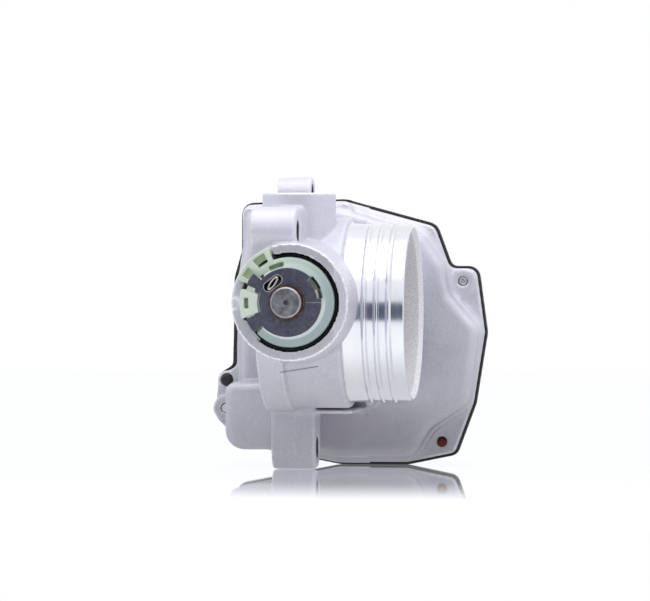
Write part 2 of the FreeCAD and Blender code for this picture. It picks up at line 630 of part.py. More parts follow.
def ball_pocket(spot):
    """Round window for one ball, drilled through the cage from outside."""
    outward = (spot - Vector(shaft_axis.x, spot.y, 0)).normalize()
    return Part.makeCylinder(ball_r + 0.1, 3.0, spot - outward * 1.5, outward)


pockets = doc.addObject("Part::Feature", "cage_pockets")
pockets.Shape = Part.makeCompound([ball_pocket(spot) for spot in ball_spots])
subpart("ball_bearing_cage", cut("cage", cage_blank, pockets))

# ---------------------------------------------------------------- spring side
cap_y = -dim("cap_face")
cap_back = cap_y + dim("cap_thk")
NOTCH_R = 8.9
BUSH_R = "shaft_d/2+bush_wall"
cap_disc = tube("cap_disc", "cap_r", BUSH_R, "-cap_face", "cap_thk-cap_face", SX)
arms = [
    wedge("upper_arm", 9, dim("cap_arm_r"), 139.5, 156.5, cap_y, cap_back),
    wedge("lower_arm", 9, dim("cap_arm_r"), 201.5, 222.5, cap_y, cap_back),
]
cap_cuts = [
    wedge("cap_notch", NOTCH_R, 16, 161.0, 200.5, cap_y - 1, cap_back + 1),
    wedge("cap_recess", 9.6, 16, 7.0, 48.0, cap_y - 1, cap_back + 1),
]
HOOK_ANGLE, HOOK_R = 127.0, dim("shaft_d") / 2 + 2.7
HOOK_SLOT_LENGTH, HOOK_SLOT_WIDTH = 6.2, 2.7


def at_shaft(shape, angle):
    """Turns a shape drawn on the +X side of the shaft axis to an angle from +X towards +Z."""
    shape = shape.copy()
    shape.rotate(Vector(), Vector(0, -1, 0), angle)
    shape.translate(Vector(dim("shaft_x"), 0, 0))
    return shape


def round_slot(radius, length, width, y_from, y_to):
    """Round-ended slot across the radius, drawn on the +X side."""
    depth = Vector(0, y_to - y_from, 0)
    half = (length - width) / 2
    body = Part.makeBox(width, y_to - y_from, 2 * half, Vector(radius - width / 2, y_from, -half))
    ends = [Part.makeCylinder(width / 2, depth.y, Vector(radius, y_from, z), Vector(0, 1, 0)) for z in (-half, half)]
    return body.fuse(ends).removeSplitter()


hook_slot = doc.addObject("Part::Feature", "hook_slot")
hook_slot.Shape = at_shaft(
    round_slot(HOOK_R, HOOK_SLOT_LENGTH, HOOK_SLOT_WIDTH, cap_y - 1, cap_back + 1), HOOK_ANGLE
)
subpart("retaining_plate", cut("cap", fuse("cap_blank", cap_disc, *arms), *cap_cuts, hook_slot))
subpart("bronze_bush", tube("bush", BUSH_R, "shaft_d/2+shaft_gap", "-cap_face-0.35", "3.6-cap_face", SX))

# mint plastic sleeve: a dished ring that the plate sits on, with two lugs through the boss wall and a keyed block
sleeve_ring = turned("sleeve_ring", [
    ("sleeve_r-3.4", "-sleeve_back"), ("sleeve_r", "-sleeve_back"), ("sleeve_r", "0.9-sleeve_face"),
    ("sleeve_r-0.5", "0.2-sleeve_face"), ("sleeve_r-1.2", "-sleeve_face"), ("sleeve_r-2.2", "-0.5-sleeve_face"),
    ("sleeve_r-3", "-1.7-sleeve_face"), ("sleeve_r-3.2", "cap_thk-cap_face+0.02"),
    (f"{BUSH_R}+1.2", "cap_thk-cap_face+0.02"), (f"{BUSH_R}+1.2", "cap_thk-cap_face+1.4"),
    ("sleeve_r-4.6", "2.4-sleeve_face"), ("sleeve_r-3.4", "5-sleeve_face"),
], SX)
face_y = -dim("sleeve_face")
sleeve_adds = [
    wedge("lug_one", 12.2, 18.7, 110.8, 138.5, face_y - 1.4, face_y + 2.2),
    wedge("lug_two", 12.6, 18.4, 138.0, 156.2, face_y - 0.2, face_y + 2.2),
    wedge("key_block", 9.6, 15.4, 163.6, 199.5, cap_y + 0.1, face_y + 1.7),
]
sleeve_cuts = [
    wedge("lug_pocket", 14.3, 17.6, 117.0, 131.0, face_y - 2, face_y + 1.3),
    wedge("lug_two_pocket", 14.6, 17.2, 139.6, 150.5, face_y - 1, face_y + 1.2),
    wedge("ring_pocket", 11.6, 13.0, 98.0, 120.0, face_y - 2, face_y + 2.0),
    wedge("key_slot", 12.5, 13.9, 173.5, 188.5, cap_y - 1, cap_y + 3.2),
    wedge("sleeve_notch", 10.4, 12.2, 133.0, 138.6, face_y - 6, face_y + 1.5),
    wedge("sleeve_gap", 11.0, 17.0, 203.0, 223.5, face_y - 3, face_y + 3.0),
    wedge("recess_step", 9.4, 11.4, 23.0, 47.5, cap_y - 1, face_y + 0.6),
]
hook_room = doc.addObject("Part::Feature", "hook_room")
hook_room.Shape = at_shaft(round_slot(HOOK_R, 7.0, 3.4, cap_back - 1, face_y + 6), HOOK_ANGLE)
subpart("spring_sleeve", cut("sleeve", fuse("sleeve_blank", sleeve_ring, *sleeve_adds), *sleeve_cuts, hook_room))

HOOK_WIRE_D = 0.9
hook_span = HOOK_SLOT_LENGTH - HOOK_SLOT_WIDTH + 0.4
hook_top = cap_y - 0.35
leg_end = face_y + 1.5
hook_path = Part.Wire([
    Part.LineSegment(Vector(HOOK_R, leg_end, -hook_span / 2), Vector(HOOK_R, hook_top + 1, -hook_span / 2)).toShape(),
    Part.Arc(Vector(HOOK_R, hook_top + 1, -hook_span / 2), Vector(HOOK_R, hook_top - 0.4, 0),
             Vector(HOOK_R, hook_top + 1, hook_span / 2)).toShape(),
    Part.LineSegment(Vector(HOOK_R, hook_top + 1, hook_span / 2), Vector(HOOK_R, leg_end, hook_span / 2)).toShape(),
])
hook_section = Part.Wire(
    Part.Circle(Vector(HOOK_R, leg_end, -hook_span / 2), Vector(0, 1, 0), HOOK_WIRE_D / 2).toShape()
)
group("spring_hook", [at_shaft(hook_path.makePipeShell([hook_section], True, True), HOOK_ANGLE)])

# return spring round the sleeve; it winds clockwise into the well from the edge of the lug gap
SPRING_START = 107.0
spring_r = (dim("sleeve_r") + dim("well_r")) / 2
spring_front = ring_face_y + 0.85
spring_back = -dim("sleeve_back") + 0.1
turns = dim("spring_turns")
STEPS_PER_TURN = 12


def coil_point(turned_by):
    """Place on the coil's centre line after some turns, drawn about the origin with the start at +X."""
    angle = 2 * math.pi * turned_by
    along = spring_front + (spring_back - spring_front) * turned_by / turns
    return Vector(spring_r * math.cos(angle), along, -spring_r * math.sin(angle))


step = 1 / STEPS_PER_TURN
coil_line = Part.Wire([
    Part.Arc(coil_point(k * step), coil_point((k + 0.5) * step), coil_point((k + 1) * step)).toShape()
    for k in range(round(turns * STEPS_PER_TURN))
])
coil_way = coil_line.Edges[0].tangentAt(coil_line.Edges[0].FirstParameter)
wire_section = Part.Wire(Part.Circle(coil_point(0), coil_way, dim("wire_d") / 2).toShape())
coil = coil_line.makePipeShell([wire_section], True, True)
group("return_spring", [at_shaft(coil, SPRING_START)])

LEVER_FRONT, LEVER_BACK = -38.2, -36.7
lever_disc = tube("lever_disc", "shaft_d/2+3.4", "shaft_d/2", LEVER_FRONT, LEVER_BACK, SX)
spring_end = SPRING_START - 360 * turns
lever_arm = wedge("lever_arm", 7.5, dim("well_r") - 0.35, spring_end - 30, spring_end - 14, LEVER_FRONT, LEVER_BACK)
subpart("spring_lever", fuse("lever", lever_disc, lever_arm))

# ---------------------------------------------------------------- gear train
FLANK_STEPS = 5
WHEEL_TIP, PINION_TIP, ROOT_GAP = 0.7, 1.0, 0.3


def gear_outline(module, teeth, tip, root, first_angle, first=0, last=None):
    """Closed involute outline about the origin in the XZ plane; first_angle is the middle of a tooth."""
    last = teeth if last is None else last
    pitch_r = module * teeth / 2
    base_r = pitch_r * math.cos(math.radians(20))
    tip_r = pitch_r + tip * module
    root_r = pitch_r - root * module
    thin = dim("gear_backlash") / 2 / pitch_r
    half_tooth = math.pi / 2 / teeth - thin

    def spread(radius):
        lean = math.acos(min(1.0, base_r / radius))
        return math.tan(lean) - lean

    low = max(base_r, root_r)
    radii = [low + (tip_r - low) * k / FLANK_STEPS for k in range(FLANK_STEPS + 1)]
    points = []

    def add(radius, angle):
        points.append(Vector(radius * math.cos(angle), 0, radius * math.sin(angle)))

    for tooth in range(first, last):
        middle = math.radians(first_angle) + 2 * math.pi * tooth / teeth
        offsets = [half_tooth + spread(pitch_r) - spread(radius) for radius in radii]
        if root_r < base_r:
            add(root_r, middle - offsets[0])
        for radius, offset in zip(radii, offsets):
            add(radius, middle - offset)
        for radius, offset in zip(reversed(radii), reversed(offsets)):
            add(radius, middle + offset)
        if root_r < base_r:
            add(root_r, middle + offsets[0])
    return points, root_r


def gear_blank(points, axis, y_from, y_to):
    face = Part.Face(Part.makePolygon(points + points[:1]))
    blank = face.extrude(Vector(0, y_to - y_from, 0))
    blank.translate(Vector(axis.x, y_from, axis.z))
    return blank


def ring_solid(axis, outer, inner, y_from, y_to):
    solid = Part.makeCylinder(outer, y_to - y_from, Vector(axis.x, y_from, axis.z), Vector(0, 1, 0))
    if inner:
        solid = solid.cut(
            Part.makeCylinder(inner, y_to - y_from + 2, Vector(axis.x, y_from - 1, axis.z), Vector(0, 1, 0))
        )
    return solid


def angle_to(start, end):
    return math.degrees(math.atan2(end.z - start.z, end.x - start.x))


SECTOR_FRONT, SECTOR_BACK = 43.0, 47.2
SECTOR_TRAVEL = 83.0
sector_teeth = int(dim("sector_teeth"))
small_teeth = int(dim("small_teeth"))
wheel_teeth = int(dim("wheel_teeth"))
pinion_teeth = int(dim("pinion_teeth"))
coarse, fine = dim("coarse_module"), dim("fine_module")

# the sector's gap faces the intermediate gear; its teeth run on for the whole travel
sector_pitch_angle = 360 / sector_teeth
sector_gap = angle_to(shaft_axis, idler_axis)
spare_teeth = 2
covered = math.ceil(SECTOR_TRAVEL / sector_pitch_angle) + 2 * spare_teeth
sector_first = sector_gap + sector_pitch_angle / 2 - spare_teeth * sector_pitch_angle
sector_points, sector_root = gear_outline(
    coarse, sector_teeth, WHEEL_TIP, PINION_TIP + ROOT_GAP, sector_first, 0, covered
)
sector_blank = gear_blank([Vector(0, 0, 0)] + sector_points, shaft_axis, SECTOR_FRONT, SECTOR_BACK)
sector_hub = ring_solid(shaft_axis, 9.0, 0, 42.0, SHAFT_BACK)
sector_window = wedge(
    "sector_window", 11.0, sector_root - 3.2, sector_first + 14, sector_first + 40, SECTOR_FRONT - 1, SECTOR_BACK + 1
)
window_two = wedge(
    "sector_window_two", 11.0, sector_root - 3.2, sector_first + 52, sector_first + 82, SECTOR_FRONT - 1,
    SECTOR_BACK + 1,
)
sector = sector_blank.fuse(sector_hub).cut([
    Part.makeCylinder(dim("shaft_d") / 2, 12, Vector(shaft_axis.x, 40, 0), Vector(0, 1, 0)),
    sector_window.Shape, window_two.Shape,
])
group("sector_gear", sector.Solids)

SMALL_FRONT, SMALL_BACK = 42.4, 48.6
WHEEL_BACK = 52.4
small_points, _ = gear_outline(
    coarse, small_teeth, PINION_TIP, WHEEL_TIP + ROOT_GAP, angle_to(idler_axis, shaft_axis)
)
wheel_pitch_angle = 360 / wheel_teeth
wheel_points, wheel_root = gear_outline(
    fine, wheel_teeth, WHEEL_TIP, PINION_TIP + ROOT_GAP,
    angle_to(idler_axis, motor_axis) + wheel_pitch_angle / 2,
)
small_gear = gear_blank(small_points, idler_axis, SMALL_FRONT, SMALL_BACK)
wheel = gear_blank(wheel_points, idler_axis, SMALL_BACK, WHEEL_BACK)
lightening = ring_solid(idler_axis, wheel_root - 1.8, 5.4, WHEEL_BACK - 1.2, WHEEL_BACK + 1)
idler_way = ring_solid(idler_axis, dim("idler_d") / 2 + dim("shaft_gap"), 0, SMALL_FRONT - 1, WHEEL_BACK + 1)
group("intermediate_gear", small_gear.fuse(wheel).cut([lightening, idler_way]).Solids)
subpart("intermediate_axle", rod(
    "idler_axle", "idler_d/2", 57.5 - IDLER_SEAT, idler_axis.x, IDLER_SEAT, idler_axis.z, "y"
))

PINION_FRONT, PINION_BACK = 48.8, 53.4
pinion_points, _ = gear_outline(
    fine, pinion_teeth, PINION_TIP, WHEEL_TIP + ROOT_GAP, angle_to(motor_axis, idler_axis)
)
pinion_way = ring_solid(motor_axis, dim("motor_shaft_d") / 2, 0, PINION_FRONT - 1, PINION_BACK + 1)
group("motor_pinion", gear_blank(pinion_points, motor_axis, PINION_FRONT, PINION_BACK).cut(pinion_way).Solids)

# ---------------------------------------------------------------- motor
MX, MZ = "motor_x", "motor_z"
CAN_FRONT = 17.2
CAN_WALL = 0.9
subpart("motor_can", turned("can", [
    ("motor_shaft_d/2+1.6", CAN_FRONT), ("motor_d/2-1", CAN_FRONT), ("motor_d/2", CAN_FRONT + 1),
    ("motor_d/2", f"{CAN_FRONT}+motor_len"), (f"motor_d/2-{CAN_WALL}", f"{CAN_FRONT}+motor_len"),
    (f"motor_d/2-{CAN_WALL}", CAN_FRONT + 1.2), ("motor_shaft_d/2+1.6", CAN_FRONT + 1.2),
], MX, 0, MZ))
magnets = []
for side in (0, 180):
    shell = Part.makeCylinder(dim("motor_d") / 2 - CAN_WALL - 0.02, 16, Vector(0, 20.4, 0), Vector(0, 1, 0), 140)
    core = Part.makeCylinder(6.6, 18, Vector(0, 19.4, 0), Vector(0, 1, 0))
    arc = shell.cut(core)
    arc.rotate(Vector(), Vector(0, 1, 0), side + 20)
    arc.translate(Vector(motor_axis.x, 0, motor_axis.z))
    magnets.append(arc)
group("motor_magnets", magnets)
armature = Part.makeCylinder(6.2, 13.5, Vector(0, 21.6, 0), Vector(0, 1, 0))
for k in range(3):
    mouth_cut = Part.makeBox(3.2, 16, 1.2, Vector(4.2, 20.5, -0.6))
    pocket_cut = Part.makeCylinder(1.7, 16, Vector(3.6, 20.5, 0), Vector(0, 1, 0))
    for tool in (mouth_cut, pocket_cut):
        tool.rotate(Vector(), Vector(0, 1, 0), 120 * k)
        armature = armature.cut(tool)
armature = armature.cut(Part.makeCylinder(dim("motor_shaft_d") / 2, 20, Vector(0, 20, 0), Vector(0, 1, 0)))
armature.translate(Vector(motor_axis.x, 0, motor_axis.z))
group("motor_armature", armature.Solids)
subpart("motor_commutator", tube("commutator", 2.4, "motor_shaft_d/2", 36.4, 39.4, MX, 0, MZ))
subpart("motor_shaft", rod("motor_axle", "motor_shaft_d/2", 36, MX, 17.9, MZ, "y"))
bush_gap = 0.04
subpart("motor_front_bush", tube(
    "motor_front_bush", "motor_shaft_d/2+1.6", f"motor_shaft_d/2+{bush_gap}", CAN_FRONT, CAN_FRONT + 2, MX, 0, MZ
))
subpart("motor_rear_bush", tube(
    "motor_rear_bush", "motor_shaft_d/2+1.6", f"motor_shaft_d/2+{bush_gap}", 41.2, 43.4, MX, 0, MZ
))
CAP_FLANGE_BACK = 42.4
end_cap = turned("end_cap_disc", [
    ("motor_shaft_d/2+1.6", "case_floor+0.2"), ("motor_d/2+0.2", "case_floor+0.2"),
    ("motor_d/2+0.2", CAP_FLANGE_BACK), ("motor_shaft_d/2+2.6", CAP_FLANGE_BACK), ("motor_shaft_d/2+2.6", 43.4),
    ("motor_shaft_d/2+1.6", 43.4),
], MX, 0, MZ)
subpart("motor_end_cap", end_cap)
brushes = [
    Part.makeBox(2.6, 1.6, 1.6, Vector(motor_axis.x + 2.45, 37.2, motor_axis.z - 0.8)),
    Part.makeBox(2.6, 1.6, 1.6, Vector(motor_axis.x - 5.05, 37.2, motor_axis.z - 0.8)),
]
group("motor_brushes", brushes)
TERMINAL_SPOTS = ((-6.0, -2.6), (6.0, -2.6))
group("motor_terminals", [
    Part.makeBox(1.6, 11.0, 0.8, Vector(motor_axis.x + x - 0.8, CAP_FLANGE_BACK, motor_axis.z + z))
    for x, z in TERMINAL_SPOTS
])

# ---------------------------------------------------------------- position sensor
MAGNET_BACK = 51.6
MAGNET_R = "shaft_d/2-0.8"
magnet_cup = tube("magnet_cup", "shaft_d/2+0.6", MAGNET_R, SHAFT_BACK, MAGNET_BACK, SX)
subpart("magnet_carrier", magnet_cup)
magnet = ring_solid(shaft_axis, evaluate(MAGNET_R), 0, SHAFT_BACK, MAGNET_BACK - 0.3)
group("sensor_magnet", magnet.Solids)
BOARD_FRONT, BOARD_THK = 54.6, 1.2
board = Part.makeBox(30, BOARD_THK, 22, Vector(shaft_axis.x - 8, BOARD_FRONT, -13))
BOARD_HOLES = [(shaft_axis.x - 6, 7), (shaft_axis.x + 20, 7), (shaft_axis.x + 20, -11)]
for x, z in BOARD_HOLES:
    board = board.cut(Part.makeCylinder(1.2, 4, Vector(x, BOARD_FRONT - 1, z), Vector(0, 1, 0)))
group("sensor_board", board.Solids)
group("sensor_chip", [
    Part.makeBox(5, 1.2, 4, Vector(shaft_axis.x - 2.5, BOARD_FRONT - 1.2, -2)),
    Part.makeBox(3, 0.9, 2, Vector(shaft_axis.x + 8, BOARD_FRONT - 0.9, 2)),
    Part.makeBox(2, 0.7, 1.2, Vector(shaft_axis.x + 13, BOARD_FRONT - 0.7, -6)),
])

# ---------------------------------------------------------------- cover, seal and screws
cover_front = dim("seal_face") + dim("seal_thk")
rim_back = cover_front + dim("cover_rim")
ceiling = dim("cover_back") - dim("cover_wall")
seal_ring = cut(
    "seal_ring",
    slab("seal_blank", outline("seal_outer", COVER_OUTLINE, dim("seal_face"), -0.25), "seal_thk"),
    slab("seal_hole", outline("seal_inner", CASE_OUTLINE, dim("seal_face") - 1, -1.4), "seal_thk+2"),
    *[rod(f"seal_screw_{n}", "screw_d/2+screw_gap+0.1", 6, x, "seal_face-2", z, "y")
      for n, (x, z, through) in enumerate(COVER_SCREWS, start=1)],
    rod("seal_peg", PEG_R + 0.15, 6, PEG[0], "seal_face-2", PEG[1], "y"),
)
pillar_clear = [
    rod(f"seal_land_{n}", "screw_d/2+2.0", "seal_thk", x, "seal_face", z, "y")
    for n, (x, z, through) in enumerate(COVER_SCREWS, start=1) if not through
]
seal_lands = cut(
    "seal_lands", fuse("seal_land_blank", *pillar_clear),
    *[rod(f"land_screw_{n}", "screw_d/2+screw_gap+0.1", 6, x, "seal_face-2", z, "y")
      for n, (x, z, through) in enumerate(COVER_SCREWS, start=1) if not through],
)
subpart("cover_seal", fuse("seal", seal_ring, seal_lands))

cover_plate = slab("cover_plate", outline("cover_face", COVER_OUTLINE, cover_front), "cover_rim")
dome = soften(
    "dome", slab("dome_slab", outline("dome_face", DOME_OUTLINE, cover_front), f"cover_back-{cover_front}"), 2.6,
    in_plane_y(dim("cover_back")),
)
SOCKET = (34.0, -42.0, 19.0, 13.0)
socket_x, socket_z, socket_w, socket_h = SOCKET
SOCKET_BACK = 76.0
socket_face = outline("socket_face", [
    (socket_x, socket_z, 3.0), (socket_x, socket_z + socket_h, 3.0),
    (socket_x + socket_w, socket_z + socket_h, 3.0), (socket_x + socket_w, socket_z, 3.0),
], ceiling)
socket = slab("socket", socket_face, f"{SOCKET_BACK}-{ceiling}")
latch = block("socket_latch", socket_x + 6.5, 67, socket_z + socket_h - 0.5, 6, 5, 2.0)
ribs = [
    block("cover_rib_one", -10, rim_back - 1, -7, 8, 5, 1.6),
    block("cover_rib_two", 50, rim_back - 1, -22, 11, 5, 1.6),
    block("cover_rib_three", 28, rim_back - 1, 14, 1.6, 5, 14),
    block("cover_rib_four", 4, rim_back - 1, 14, 1.6, 5, 17),
]
peg = turned("peg", [
    (0, "case_lip-1.2"), (PEG_R - 0.4, "case_lip-1.2"), (PEG_R, "case_lip-0.8"), (PEG_R, cover_front + 1),
    (0, cover_front + 1),
], PEG[0], 0, PEG[1])
dome_room = cut(
    "dome_room",
    slab("dome_room_slab", outline("dome_room_face", DOME_OUTLINE, cover_front - 1, -dim("cover_wall")),
         f"{ceiling}-{cover_front}+1"),
    rod("axle_post", "idler_d/2+2", 20, idler_axis.x, WHEEL_BACK + 0.8, idler_axis.z, "y"),
)
socket_mouth = slab("socket_mouth", outline("socket_mouth_face", [
    (socket_x + 1.8, socket_z + 1.8, 1.6), (socket_x + 1.8, socket_z + socket_h - 1.8, 1.6),
    (socket_x + socket_w - 1.8, socket_z + socket_h - 1.8, 1.6), (socket_x + socket_w - 1.8, socket_z + 1.8, 1.6),
], dim("cover_back") + 2.5), "20")
PIN_COUNT, PIN_SIDE = 6, 0.64
pin_spots = [
    Vector(socket_x + socket_w / 2 + (k - (PIN_COUNT - 1) / 2) * 2.4, 56.0, socket_z + socket_h / 2)
    for k in range(PIN_COUNT)
]
cover_holes = [
    rod(f"cover_hole_{n}", "screw_d/2+0.3", "cover_rim+2", x, cover_front - 1, z, "y")
    for n, (x, z, through) in enumerate(COVER_SCREWS, start=1)
]
axle_hole = rod("axle_hole", "idler_d/2+0.05", 18, idler_axis.x, 40, idler_axis.z, "y")
pin_ways = doc.addObject("Part::Feature", "pin_ways")
pin_ways.Shape = Part.makeCompound([
    Part.makeBox(PIN_SIDE, 20, PIN_SIDE, spot - Vector(PIN_SIDE / 2, 1, PIN_SIDE / 2)) for spot in pin_spots
])
board_posts = [
    rod(f"board_post_{n}", 1.15, f"{ceiling}+1-{BOARD_FRONT}-0.3", x, BOARD_FRONT + 0.3, z, "y")
    for n, (x, z) in enumerate(BOARD_HOLES, start=1)
]
board_steps = [
    rod(f"board_step_{n}", 2.2, f"{ceiling}+1-{BOARD_FRONT}-{BOARD_THK}", x, BOARD_FRONT + BOARD_THK, z, "y")
    for n, (x, z) in enumerate(BOARD_HOLES, start=1)
]
cover_shell = cut("cover_shell", fuse("cover_blank", cover_plate, dome, socket, latch, *ribs, peg),
                  dome_room, socket_mouth, axle_hole, *cover_holes)
subpart("gear_cover", cut("cover", fuse("cover_posts", cover_shell, *board_posts, *board_steps), pin_ways))
group("connector_pins", [
    Part.makeBox(PIN_SIDE, 15.5, PIN_SIDE, spot - Vector(PIN_SIDE / 2, 0, PIN_SIDE / 2)) for spot in pin_spots
])

cover_screws = []
for x, z, through in COVER_SCREWS:
    tip = dim("case_lip") - 0.5 if through else dim("case_floor") + 2
    shank = Part.makeCylinder(dim("screw_d") / 2, rim_back - tip, Vector(x, tip, z), Vector(0, 1, 0))
    point = [edge for edge in shank.Edges if abs(edge.CenterOfMass.y - tip) < 1e-6 and edge.Closed]
    shank = shank.makeChamfer(0.4, point[:1])
    head = Part.makeCylinder(3.4, 2.4, Vector(x, rim_back, z), Vector(0, 1, 0))
    recess = Part.makePolygon([
        Vector(x + 1.5 * math.cos(math.radians(60 * k)), rim_back + 2.5, z + 1.5 * math.sin(math.radians(60 * k)))
        for k in (0, 1, 2, 3, 4, 5, 0)
    ])
    cover_screws.append(shank.fuse(head).cut(Part.Face(recess).extrude(Vector(0, -1.6, 0))))
group("cover_screws", cover_screws)

# ---------------------------------------------------------------- check and write
doc.recompute()
broken = [obj.Label for obj in doc.Objects if "Invalid" in obj.State or "Error" in obj.State]
if broken:
    raise RuntimeError(f"objects that failed: {broken}")
for piece in SUBPARTS:
    shape = piece.Shape
    if shape.isNull() or not shape.isValid() or not shape.Solids:
        raise RuntimeError(f"{piece.Label}: no valid solid")
os.makedirs("parts", exist_ok=True)
for piece in SUBPARTS:
    piece.Shape.exportStep(f"parts/{piece.Label}.step")
    print(f"{piece.Label:28s} solids {len(piece.Shape.Solids):3d}  volume {piece.Shape.Volume:10.1f} mm3")
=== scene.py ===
import math

import bmesh
import bpy
import numpy as np
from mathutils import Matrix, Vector


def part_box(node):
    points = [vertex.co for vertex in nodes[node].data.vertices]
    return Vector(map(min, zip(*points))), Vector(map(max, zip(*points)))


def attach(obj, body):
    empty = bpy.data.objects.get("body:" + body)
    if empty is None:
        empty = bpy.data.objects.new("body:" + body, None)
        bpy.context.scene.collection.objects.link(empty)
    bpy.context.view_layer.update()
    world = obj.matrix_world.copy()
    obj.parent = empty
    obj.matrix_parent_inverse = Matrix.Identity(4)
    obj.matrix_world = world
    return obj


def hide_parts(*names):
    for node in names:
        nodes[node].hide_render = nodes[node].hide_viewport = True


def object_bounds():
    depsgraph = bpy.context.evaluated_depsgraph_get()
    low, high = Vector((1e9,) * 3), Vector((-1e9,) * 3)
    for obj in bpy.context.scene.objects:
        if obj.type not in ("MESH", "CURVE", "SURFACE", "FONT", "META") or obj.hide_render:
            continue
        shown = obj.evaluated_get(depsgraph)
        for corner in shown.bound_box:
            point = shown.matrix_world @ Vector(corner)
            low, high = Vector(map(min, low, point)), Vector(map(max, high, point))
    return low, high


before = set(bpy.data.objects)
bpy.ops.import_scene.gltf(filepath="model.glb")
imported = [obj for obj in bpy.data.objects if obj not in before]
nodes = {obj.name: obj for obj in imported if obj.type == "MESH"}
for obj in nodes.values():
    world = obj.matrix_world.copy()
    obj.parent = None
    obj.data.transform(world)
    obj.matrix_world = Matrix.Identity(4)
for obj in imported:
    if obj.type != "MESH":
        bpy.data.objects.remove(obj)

CAD_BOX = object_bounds()
scene = bpy.context.scene
mm = 0.001

# ---------------------------------------------------------------- camera
# A long lens stands far back, level with the shaft and a few degrees to the right of it. It aims just beside
# the shaft's middle, and the spigot's mouth shows as a narrow crescent.
aim = Vector((18.3865, 0, 0.0276)) * mm
stand_off = 1.64474
azimuth, elevation = math.radians(7.6), math.radians(0.7)
backwards = Vector((
    math.sin(azimuth) * math.cos(elevation), -math.cos(azimuth) * math.cos(elevation), math.sin(elevation)
))
camera_data = bpy.data.cameras.new("camera")
camera_data.sensor_width = 36
camera_data.lens = 276.92
camera_data.clip_start, camera_data.clip_end = 0.05, 20
camera = bpy.data.objects.new("camera", camera_data)
camera.location = aim + backwards * stand_off
camera.rotation_mode = "QUATERNION"
camera.rotation_quaternion = (-backwards).to_track_quat("-Z", "Y")
scene.collection.objects.link(camera)
scene.camera = camera

# ---------------------------------------------------------------- throttle housing casting
# The body is one aluminium casting: duct, flange, spring boss, three ears, the motor bulge and the gear case.
# It is cast, blasted and then machined on its ring face, joint faces and bores, so only cast edges are soft.
# The shaft lies along Y at shaft_x, the spigot along X at spigot_z, and the boss stands on the top.
shaft_x, spigot_z = 13.0, -4.0
boss_x, boss_y, boss_r = 11.5, -12.0, 12
well_r, ring_r, hole_r = 16.7, 18.9, 3.6
mounting_holes = (0, -36.3, 22.7), (0, 23.3, 35.1), (0, 10.7, -48.7)
cast_cell, weld = 0.5 * mm, 1e-6


def merged_copy(name, source):
    """One closed mesh from the loose triangles of a CAD node."""
    mesh = bpy.data.meshes.new(name)
    bm = bmesh.new()
    bm.from_mesh(nodes[source].data)
    bmesh.ops.remove_doubles(bm, verts=bm.verts, dist=weld)
    bm.to_mesh(mesh)
    bm.free()
    mesh.materials.clear()
    piece = bpy.data.objects.new(name, mesh)
    scene.collection.objects.link(piece)
    return piece


def settle(piece):
    """Makes what the modifiers show the piece's own mesh and removes them."""
    graph = bpy.context.evaluated_depsgraph_get()
    mesh = bpy.data.meshes.new_from_object(piece.evaluated_get(graph), depsgraph=graph)
    piece.modifiers.clear()
    piece.data = mesh
    return piece


def skin(piece, cell):
    """Covers the piece with even faces of one size."""
    modifier = piece.modifiers.new("skin", "REMESH")
    modifier.mode = "VOXEL"
    modifier.voxel_size = cell
    return settle(piece)


def places(mesh):
    flat = np.empty(len(mesh.vertices) * 3, np.float32)
    mesh.vertices.foreach_get("co", flat)
    return flat.reshape(-1, 3).astype(float)


def soften(piece, passes, share):
    """Rounds edges: each pass moves every point part of the way to the middle of its neighbours."""
    mesh = piece.data
    place = places(mesh)
    ends = np.empty(len(mesh.edges) * 2, np.int32)
    mesh.edges.foreach_get("vertices", ends)
    one, two = ends.reshape(-1, 2).T
    count = len(place)
    neighbours = np.maximum(np.bincount(one, minlength=count) + np.bincount(two, minlength=count), 1)
    pull = (0.5 * share(place / mm))[:, None]
    for _ in range(passes):
        total = np.stack([
            np.bincount(one, place[two, k], count) + np.bincount(two, place[one, k], count) for k in range(3)
        ], axis=1)
        place += pull * (total / neighbours[:, None] - place)
    mesh.vertices.foreach_set("co", place.astype(np.float32).ravel())
    mesh.update()
    return piece


def thin_out(piece, most):
    """Joins flat stretches into larger faces until the piece has no more than this many triangles."""
    triangles = sum(len(face.vertices) - 2 for face in piece.data.polygons)
    if triangles > most:
        modifier = piece.modifiers.new("thin", "DECIMATE")
        modifier.ratio = most / triangles
        settle(piece)
    return piece


def shade(piece, weighted=True):
    """Smooth shading whose normals follow the larger faces."""
    piece.data.polygons.foreach_set("use_smooth", [True] * len(piece.data.polygons))
    if weighted:
        modifier = piece.modifiers.new("normals", "WEIGHTED_NORMAL")
        modifier.mode = "FACE_AREA_WITH_ANGLE"
        settle(piece)
    return piece


def machined(place):
    """True where a cutter has been: ring face and well, joint faces, bores and the turned spigot."""
    x, y, z = place.T
    from_shaft = np.hypot(x - shaft_x, z)
    from_spigot = np.hypot(y, z - spigot_z)
    ring = (y < -45.3) & (from_shaft < 21)
    well = (from_shaft < well_r) & (y < -30)
    spigot = (x > 26.2) & (from_spigot < 30.9)
    bore = (np.hypot(y, z) < 24.4) & (x < 21)
    boss_top = (z > 34.6) & (np.hypot(x - boss_x, y - boss_y) < 12.6)
    joint_faces = (x < 0.4) | (y > 46.6)
    return ring | well | spigot | bore | boss_top | joint_faces


def near(value, middle, width):
    """1 at the middle, and almost 0 from twice this width on."""
    return np.exp(-((value - middle) / width) ** 2)


def ripple(around, *waves):
    """A ragged edge: the sum of waves, each with its number of turns and its start."""
    return sum(np.sin(turns * around + start) for turns, start in waves)


casting = skin(merged_copy("casting", "throttle_housing"), cast_cell)
soften(casting, 7, lambda place: np.where(machined(place), 0.12, 1.0))

